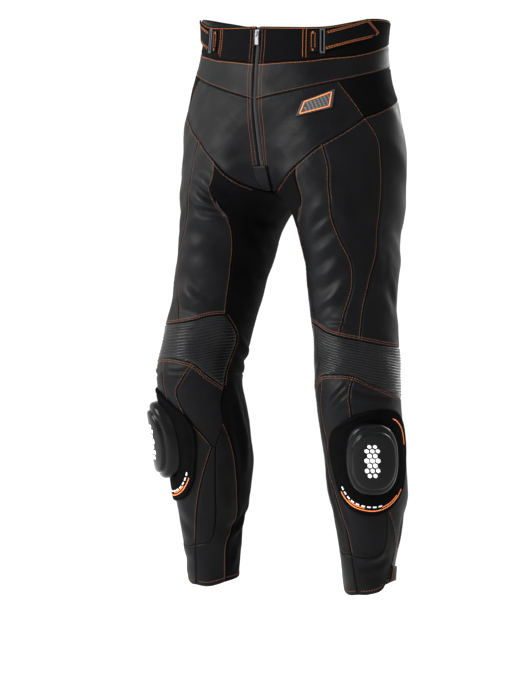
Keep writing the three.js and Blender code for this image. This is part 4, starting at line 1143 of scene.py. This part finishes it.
class TrousersSettings(bpy.types.PropertyGroup):
    leather_thick: size_property("Leather", "Thickness of a leather panel", 0.0014)
    stretch_thick: size_property("Stretch cloth", "Thickness of a stretch panel", 0.0012)
    seam_depth: size_property("Seam depth", "Depth of the groove at a seam", 0.0013)
    rib_height: size_property("Rib height", "Height of one rib of the knee", 0.0024)
    rib_pitch_right: size_property("Rib pitch, right", "Distance between ribs on the right knee", 0.0055)
    rib_pitch_left: size_property("Rib pitch, left", "Distance between ribs on the left knee", 0.0046)
    stitch_length: size_property("Stitch", "Length of one stitch", 0.0034)
    stitch_gap: size_property("Stitch gap", "Gap between two stitches", 0.0008)
    stitch_width: size_property("Thread", "Width of the thread", 0.0007)
    fold_strength: bpy.props.FloatProperty(name="Folds", description="Share of the folds' height", default=1.0,
                                           min=0, max=2, subtype="FACTOR")
    leather_colour: colour_property("Leather", "Colour of the leather panels", (0.0019, 0.0020, 0.0024))
    rib_colour: colour_property("Ribs", "Colour of the ribbed knee panels", (0.0030, 0.0031, 0.0036))
    stretch_colour: colour_property("Stretch cloth", "Colour of the stretch panels", (0.0014, 0.0014, 0.0017))
    thread_colour: colour_property("Thread", "Colour of the seams' thread", (0.17, 0.062, 0.033))
    bright_thread_colour: colour_property("Waist thread", "Colour of the waistband's thread", (0.42, 0.13, 0.035))
    trim_colour: colour_property("Trim", "Colour of the badge rim and the pads' lines", (0.78, 0.19, 0.04))


# ---- Operators -----------------------------------------------------------
class TROUSERS_OT_stage(bpy.types.Operator):
    """Set up the pale floor, the soft studio light and the camera"""
    bl_idname = "trousers.stage"
    bl_label = "Stage"

    def execute(self, context):
        deselect()
        bpy.ops.mesh.primitive_plane_add(size=600, location=(0, 0, FLOOR_HEIGHT))
        floor = context.active_object
        floor.name = "studio_floor"
        bpy.ops.object.mode_set(mode="EDIT")
        bpy.ops.mesh.subdivide(number_cuts=4)
        bpy.ops.object.mode_set(mode="OBJECT")
        bpy.ops.object.transform_apply(location=True)
        floor.data.materials.append(FINISHES["floor"]())
        world = bpy.data.worlds.new("studio")
        world.use_nodes = True
        back = world.node_tree.nodes["Background"]
        back.inputs["Color"].default_value = (1, 1, 1, 1)
        back.inputs["Strength"].default_value = WORLD_LIGHT
        context.scene.world = world
        for name, at, size, power in LAMPS:
            bpy.ops.object.light_add(type="AREA", location=at)
            lamp = context.active_object
            lamp.name = name
            lamp.visible_camera = False
            lamp.data.shape, lamp.data.size, lamp.data.energy = "DISK", size, power
            lamp.rotation_euler = (Vector(MIDDLE) - Vector(at)).to_track_quat("-Z", "Y").to_euler()
        camera_data = bpy.data.cameras.new("camera")
        camera_data.lens, camera_data.sensor_width = LENS, 36
        camera = bpy.data.objects.new("camera", camera_data)
        context.collection.objects.link(camera)
        camera.location = CAMERA_AT
        camera.rotation_euler = (Vector(CAMERA_TO) - Vector(CAMERA_AT)).to_track_quat("-Z", "Y").to_euler()
        camera_data.clip_end = 100
        context.scene.camera = camera
        context.scene.view_settings.view_transform = "Standard"
        return {"FINISHED"}


CAMERA_AT = (1.9077, -3.0530, -0.6)
CAMERA_TO = (-0.0505, -0.0315, -0.541)
LENS = 113.15
MIDDLE = (0, 0, -0.45)
FLOOR_HEIGHT = -1.35
WORLD_LIGHT = 1.08
LAMPS = (
    ("key", (-2.0, -3.0, 1.1), 2.2, 330),
    ("fill", (2.6, -1.6, 1.0), 2.0, 8),
    ("back", (0.2, 3.4, 1.4), 2.2, 110),
    ("side", (-3.0, -0.6, 0.5), 2.0, 22),
)


class TROUSERS_OT_hip_panels(bpy.types.Operator):
    """Make the panels from the waistband to the V seam"""
    bl_idname = "trousers.hip_panels"
    bl_label = "Hip panels"

    def execute(self, context):
        settings = context.scene.trousers
        for side in SIDES:
            for name, seams in hip_panels().items():
                cloth_panel(name + SUFFIX[side], side, seams, settings)
        ends = flat_line(RIM_BACK[0], BAND_BACK[0]), flat_line(RIM_BACK[-1], BAND_BACK[-1])
        cloth_panel("waistband_back", LEFT, (STRETCH, RIM_BACK, BAND_BACK, *ends), settings, (LEFT, RIGHT))
        ends = flat_line(BAND_BACK[0], YOKE_BACK[0]), flat_line(BAND_BACK[-1], YOKE_BACK[-1])
        cloth_panel("yoke_back", LEFT, (LEATHER, BAND_BACK, YOKE_BACK, *ends), settings, (LEFT, RIGHT))
        return {"FINISHED"}


class TROUSERS_OT_leg_panels(bpy.types.Operator):
    """Make the panels of both legs, with their folds and the ribbed knees"""
    bl_idname = "trousers.leg_panels"
    bl_label = "Leg panels"

    def execute(self, context):
        for side in SIDES:
            for name, seams in leg_panels(side).items():
                cloth_panel(name + SUFFIX[side], side, seams, context.scene.trousers)
        return {"FINISHED"}


# Rows of stitches: the line, the way that the row lies from it in angle and height, and its distance in mm. Each sew
# call gives the thread.
NEAR, FAR = 2.7, 6.0
LEG_ROWS = (
    (VEE_LOW, (0, -1), NEAR), (VEE_HIGH, (0, -1), NEAR), (INSEAM_FRONT, (1, 0), NEAR), (SEAM_FRONT, (-1, 0), NEAR),
    (SEAM_OUTER, (-1, 0), NEAR), (BACK_OUTER, (-1, 0), NEAR), (BACK_INNER, (-1, 0), NEAR), (SEAT, (0, -1), NEAR),
    (RIB_TOP, (0, 1), NEAR), (RIB_TOP, (0, 1), FAR), (RIB_BOTTOM, (0, -1), NEAR), (RIB_BOTTOM, (0, -1), FAR),
    (RIB_INNER, (-1, 0), NEAR), (SHIN_SEAM, (1, 0), NEAR), (KNEE_OUTER, (-1, 0), NEAR),
    (stretch(CALF_OUTER, 0, 5), (1, 0), NEAR), (BACK_CALF, (-1, 0), NEAR), (INSEAM_CALF, (1, 0), NEAR),
    (HEM_FRONT, (0, 1), 7), (stretch(CALF_OUTER, 5, 7), (0, 1), 7), (HEM_OUTER, (0, 1), 7), (HEM_BACK, (0, 1), 7),
)
HIP_ROWS = (
    (YOKE, (0, 1), NEAR), (YOKE_BACK, (0, 1), NEAR), (HIP_FRONT, (-1, 0), NEAR), (HIP_BACK, (1, 0), NEAR),
)
WAIST_ROWS = (
    (RIM, (0, -1), NEAR), (RIM_BACK, (0, -1), NEAR), (BAND, (0, -1), NEAR), (BAND_BACK, (0, -1), NEAR),
    (flat_line((27.6, -28), (27.6, -78)), (1, 0), 0), (flat_line((29.6, -28), (29.6, -77)), (1, 0), 0),
    (flat_line((43, -67), (43.4, -72)), (1, 0), 0), (flat_line((45, -66), (45.4, -71)), (1, 0), 0),
)
FLY_OFFSETS = (5.0, 10.5)
FLY_TOP, FLY_FOOT = -30, -256


class TROUSERS_OT_stitching(bpy.types.Operator):
    """Sew the rows of stitches beside the seams"""
    bl_idname = "trousers.stitching"
    bl_label = "Stitching"

    def execute(self, context):
        s = context.scene.trousers
        length, gap, width = s.stitch_length / MM, s.stitch_gap / MM, s.stitch_width / MM

        def sew(name, rows, finish, lift=0.28):
            made = [stitch_ends(side, offset_line(side, line, off, hint) if off else line, lift, length, gap)
                    for side, line, hint, off in rows]
            thread_mesh(name, *zip(*made), width, FINISHES[finish](), "leather")

        for side in SIDES:
            rows = [(side, *row) for row in LEG_ROWS] + [(side, LEAF[side], (1, 0), NEAR)]
            sew("leg_stitches" + SUFFIX[side], rows, "thread")
        fly = [(side, upright(FLY_TOP, FLY_FOOT, 40, lambda z, o=off: mid_front(z, ZIP_HALF + o)), (1, 0), 0)
               for side in SIDES for off in FLY_OFFSETS]
        sew("hip_stitches", [(side, *row) for side in SIDES for row in HIP_ROWS] + fly, "thread")
        sew("waistband_stitches", [(side, *row) for side in SIDES for row in WAIST_ROWS], "bright_thread")
        strap = [(STRAP_TOP, (0, -1), 2.2), (STRAP_TOP, (0, -1), 4.6), (STRAP_BOTTOM, (0, 1), 2.2),
                 (STRAP_BOTTOM, (0, 1), 4.6), (STRAP_END, (-1, 0), 2.4), (STRAP_END, (-1, 0), 4.8)]
        sew("strap_stitches", [(side, *row) for side in SIDES for row in strap], "bright_thread",
            STRAP_LIFT + STRAP_THICK + 0.35)
        tacks = [(side, flat_line((a, -33), (a, -64)), (1, 0), 0) for side in SIDES for a in (32.9, 35.1)]
        tacks += [(side, flat_line((32.5, z), (36.6, z)), (0, 1), 0) for side in SIDES
                  for z in (-33, -34.2, -35.4, -61.6, -62.8, -64)]
        sew("loop_stitches", tacks, "bright_thread", LIFT + STRAP_THICK + 0.4)
        tab = [(side, *row) for side in SIDES for row in (
            (ANKLE_TOP, (0, -1), 2.4), (ANKLE_FOOT, (0, 1), 2.4), (flat_line(ANKLE_TOP[0], ANKLE_FOOT[0]), (1, 0), 2.4))]
        sew("ankle_tab_stitches", tab, "thread", LIFT + TAB_THICK + 0.35)
        return {"FINISHED"}


class TROUSERS_OT_waist(bpy.types.Operator):
    """Make the waist straps with their rings and webbing loops"""
    bl_idname = "trousers.waist"
    bl_label = "Waist straps"

    def execute(self, context):
        for side in SIDES:
            end = SUFFIX[side]
            flap("waist_strap" + end, side, sides_of(STRAP_TOP, STRAP_BOTTOM, STRAP_END), STRAP_THICK, STRAP_LIFT,
                 "webbing")
            flap("ring_loop" + end, side, sides_of(LOOP_TOP, LOOP_FOOT), STRAP_THICK, LIFT, "webbing")
            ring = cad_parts["waist_ring" + end]
            repaint(ring, FINISHES["ring"]())
        return {"FINISHED"}


def repaint(node, finish):
    """A CAD node keeps its shape and takes a finish."""
    obj = node if isinstance(node, bpy.types.Object) else bpy.data.objects[node]
    for k in range(max(len(obj.material_slots), 1)):
        if not obj.material_slots:
            obj.data.materials.append(finish)
        else:
            obj.material_slots[k].material = finish


class TROUSERS_OT_fly(bpy.types.Operator):
    """Make the zip of the fly, with its teeth and the tab at its foot"""
    bl_idname = "trousers.fly"
    bl_label = "Fly"

    def execute(self, context):
        heights = np.linspace(ZIP_TOP, ZIP_FOOT, 60)
        wide = np.linspace(-TAPE_HALF, TAPE_HALF, 9)
        xx, zz = np.meshgrid(wide, heights)
        tape_points = np.stack([xx, front_y(zz, ZIP_HALF) + TAPE_DEEP, zz], -1)
        tape = make_object("fly_zip_tape", tape_points.reshape(-1, 3), faces_of(60, 9),
                           finish=(FINISHES["tape"](),), outward_at=lambda k: np.array([0, -1.0, 0]))
        thicken(tape, 0.6 * MM, lining=False)
        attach(tape, BODY)
        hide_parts("fly_zip")
        tooth, faces = shaped(lambda: bpy.ops.mesh.primitive_cube_add(size=1),
                              lambda: bpy.ops.mesh.bevel(offset=0.18, segments=1))
        z = np.arange(ZIP_TOP - 18, TAB_TOP + 6, -TOOTH_PITCH)
        shift = np.where(np.arange(len(z)) % 2, 1, -1) * TOOTH_SHIFT
        middle = np.stack([shift, front_y(z, ZIP_HALF) + TAPE_DEEP - TOOTH[1] / 2, z], -1)
        copies("zip_teeth", tooth[None] * np.array(TOOTH) + middle[:, None], faces, FINISHES["tooth"](),
               sharp=40 * RAD)
        for name in ("zip_slider", "zip_pull"):
            repaint(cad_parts[name], FINISHES["metal"]())
        rows, columns = 30, 21
        share = np.linspace(-1, 1, columns)
        heights = np.linspace(TAB_TOP, TAB_FOOT, rows)
        half = np.interp(-heights, [252, 261, 271, 281, 290],
                         [TAB_HALF - 1, TAB_HALF, TAB_HALF - 0.5, TAB_HALF - 3.5, 6])
        xx, zz = share[None] * half[:, None], np.repeat(heights[:, None], columns, 1)
        edge = np.minimum(np.minimum(half[:, None] - np.abs(xx), TAB_TOP - zz), (zz - TAB_FOOT) * 1.2)
        high = TAB_LIFT + 2.2 - 0.9 * np.exp(-(edge / 0.8) ** 2) + 0.9 * np.clip(edge / 9, 0, 1)
        high += 0.5 * np.exp(-((edge - 3.4) / 1.2) ** 2) - 0.4 * np.exp(-(((zz + 266) - 0.3 * xx) / 3) ** 2)
        points = np.stack([xx, front_y(zz, TAB_HALF) - high, zz], -1)
        # The groove value along the tab's edges is painted shade in the leather finish.
        tab = make_object("fly_tab_piece", points.reshape(-1, 3), faces_of(rows, columns),
                          values={"groove": 0.4 * np.exp(-(edge / 0.9) ** 2).ravel(), "crest": 0 * edge.ravel()},
                          finish=(FINISHES[LEATHER](),), outward_at=lambda k: np.array([0, -1.0, 0]))
        thicken(tab, 1.6 * MM, lining=False)
        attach(tab, BODY)
        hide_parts("fly_tab")
        return {"FINISHED"}


ZIP_TOP, ZIP_FOOT = -27, -284
TAB_LIFT = LIFT + 0.4
TAPE_HALF, TAPE_DEEP = 11.0, 2.2
TOOTH = (3.0, 1.2, 1.25)      # one tooth across, out and up
TOOTH_PITCH, TOOTH_SHIFT = 1.75, 0.9
TAB_TOP, TAB_FOOT = -252, -290


def front_y(z, half):
    """Depth of the front face beside the zip."""
    return skin(LEFT, mid_front(z, half), z)[..., 1]


class TROUSERS_OT_knees(bpy.types.Operator):
    """Make the knee pads and the hard sliders on them"""
    bl_idname = "trousers.knees"
    bl_label = "Knee pads and sliders"

    def execute(self, context):
        disc, faces = slider_shape()
        turn, share = np.arctan2(disc[:, 1], disc[:, 0]), np.hypot(disc[:, 0], disc[:, 1])
        up = SLIDER_HALF_HEIGHT * rounded(np.sin(turn)) * share
        out = SLIDER_HALF_WIDTH * rounded(np.cos(turn)) * share + SLIDER_LEAN * up
        lift = SLIDER_BASE + disc[:, 2]
        six, six_faces = hexagon_shape()
        for side in SIDES:
            end = SUFFIX[side]
            angle, z = knee_place(out, up, lift)
            points = on_form(side, angle, z, lift)
            slider = make_object("knee_slider_shell" + end, points, faces if side == LEFT else [f[::-1] for f in faces],
                                 finish=(FINISHES["slider"](),))
            deselect()
            slider.select_set(True)
            bpy.context.view_layer.objects.active = slider
            bpy.ops.object.shade_smooth_by_angle(angle=50 * RAD)
            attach(slider, BODY)
            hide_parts("knee_slider" + end)
            self.pad(side)
            centre = np.array(HEXAGONS, float)
            size = centre[:, 2, None]
            ho = centre[:, 0, None] + six[None, :, 0] * size
            hu = centre[:, 1, None] + six[None, :, 1] * size
            ha, hz = knee_place(ho, hu, slider_lift(ho, hu))
            high = slider_lift(ho, hu) + six[None, :, 2] * PRINT_HIGH - 0.15
            copies("slider_cells" + end, on_form(side, ha, hz, high),
                   six_faces if side == LEFT else [f[::-1] for f in six_faces], FINISHES["white"](),
                   sharp=30 * RAD)
            lines = [outline_path(side, share, first, last, PAD_TOP + 0.1) for share, first, last in PAD_LINES]
            bead("pad_lines" + end, lines, 1.5, 0.6, FINISHES["orange"]())
            dashes = [outline_path(side, 0.83, first, first + 0.012, PAD_TOP + 0.1, 8)
                      for first in np.linspace(*DASHES)]
            bead("pad_dashes" + end, dashes, 2.4, 0.6, FINISHES["white"]())
        return {"FINISHED"}

    def pad(self, side):
        """The hook-and-loop pad under the slider, with a welt round its edge."""
        outline = at_shares(side, PAD_OUTLINE, np.linspace(0, 1, 121)[:-1])
        rings = np.stack([ring_of(outline, PAD_MIDDLE, share) for share, _ in PAD_RINGS])
        high = np.array([h for _, h in PAD_RINGS])[:, None] + 0 * rings[..., 0]
        points = on_form(side, rings[..., 0], rings[..., 1], high)
        rows, columns = high.shape
        faces = [[j * columns + k, j * columns + (k + 1) % columns, (j + 1) * columns + (k + 1) % columns,
                  (j + 1) * columns + k] for j in range(rows - 1) for k in range(columns)]
        faces.append([(rows - 1) * columns + k for k in range(columns)])
        faces.append([k for k in reversed(range(columns))])
        if side == LEFT:
            faces = [f[::-1] for f in faces]
        pad = make_object("knee_pad_cushion" + SUFFIX[side], points.reshape(-1, 3), faces, finish=(FINISHES["pad"](),))
        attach(pad, BODY)
        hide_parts("knee_pad" + SUFFIX[side])


# Raised cells on the slider: across, up and size, in mm. A plain cluster.
HEXAGONS = tuple((9.6 * (i + 0.5 * (j % 2)) + 0.9 * j - 6, 8.6 * j, 4.6 - 0.25 * abs(j))
                 for j in range(-3, 4) for i in ((-1, 0, 1) if j % 2 == 0 else (-1, 0)))
PRINT_HIGH = 0.9
# Lines on the pad: share of its outline, and where each begins and ends.
PAD_LINES = ((0.9, 0.40, 0.66), (0.86, 0.43, 0.5), (0.86, 0.56, 0.62), (0.84, 0.1, 0.24))
DASHES = (0.50, 0.66, 9)


class TROUSERS_OT_trim(bpy.types.Operator):
    """Make the hip badge and the ankle tabs"""
    bl_idname = "trousers.trim"
    bl_label = "Badge and tabs"

    def execute(self, context):
        for side in SIDES:
            flap("ankle_tab" + SUFFIX[side], side, sides_of(ANKLE_TOP, ANKLE_FOOT), TAB_THICK, LIFT, LEATHER)
        flap("hip_badge", LEFT, sides_of(BADGE_TOP, BADGE_FOOT), BADGE_THICK, LIFT, "rubber",
             crown=0.2)
        corners = np.array([(0.10, 0.12), (0.9, 0.12), (0.9, 0.88), (0.10, 0.88)])

        def badge_place(s, t):
            top = BADGE_TOP[0] + (BADGE_TOP[1] - BADGE_TOP[0]) * s[..., None]
            foot = BADGE_FOOT[0] + (BADGE_FOOT[1] - BADGE_FOOT[0]) * s[..., None]
            return top + (foot - top) * t[..., None]

        loop = np.concatenate([corners, corners[:1]])
        t = np.linspace(0, 4, 81)
        at = np.stack([np.interp(t, range(5), loop[:, k]) for k in range(2)], -1)
        path = badge_place(at[:, 0], at[:, 1])
        lift = LIFT + BADGE_THICK + 0.15
        bead("badge_rim", [(on_skin(LEFT, path[:, 0], path[:, 1], lift), outward(LEFT, path[:, 0], path[:, 1]))],
             1.8, 1.0, FINISHES["orange"](), closed=True)
        six, faces = hexagon_shape()
        cells = np.array([(0.2 + 0.1 * i + 0.05 * (j % 2), 0.26 + 0.16 * j) for j in range(4) for i in range(7)])
        at = badge_place(cells[:, 0], cells[:, 1])
        degree = float(mm_per_degree(LEFT, -150))
        ha = at[:, 0, None] + six[None, :, 0] * CELL_SIZE / degree
        hz = at[:, 1, None] + six[None, :, 1] * CELL_SIZE
        copies("badge_cells", on_skin(LEFT, ha, hz, lift - 0.3 + six[None, :, 2] * 0.8), faces, FINISHES["grey"](),
               sharp=30 * RAD)
        return {"FINISHED"}


CELL_SIZE = 2.0


class TROUSERS_PT_panel(bpy.types.Panel):
    """The builder's steps, in order"""
    bl_idname = "TROUSERS_PT_panel"
    bl_label = "Leather trousers"
    bl_space_type = "VIEW_3D"
    bl_region_type = "UI"
    bl_category = "Trousers"

    def draw(self, context):
        for key in TrousersSettings.__annotations__:
            self.layout.prop(context.scene.trousers, key)
        for operator in OPERATORS:
            self.layout.operator(operator.bl_idname)


OPERATORS = (TROUSERS_OT_stage, TROUSERS_OT_hip_panels, TROUSERS_OT_leg_panels, TROUSERS_OT_stitching,
             TROUSERS_OT_waist, TROUSERS_OT_fly, TROUSERS_OT_knees, TROUSERS_OT_trim)
CLASSES = (TrousersSettings, *OPERATORS, TROUSERS_PT_panel)


def register():
    for cls in CLASSES:
        bpy.utils.register_class(cls)
    bpy.types.Scene.trousers = bpy.props.PointerProperty(type=TrousersSettings)


def unregister():
    del bpy.types.Scene.trousers
    for cls in reversed(CLASSES):
        bpy.utils.unregister_class(cls)


def main():
    register()
    for operator in OPERATORS:
        group, name = operator.bl_idname.split(".")
        getattr(getattr(bpy.ops, group), name)()


if __name__ == "__main__":
    main()
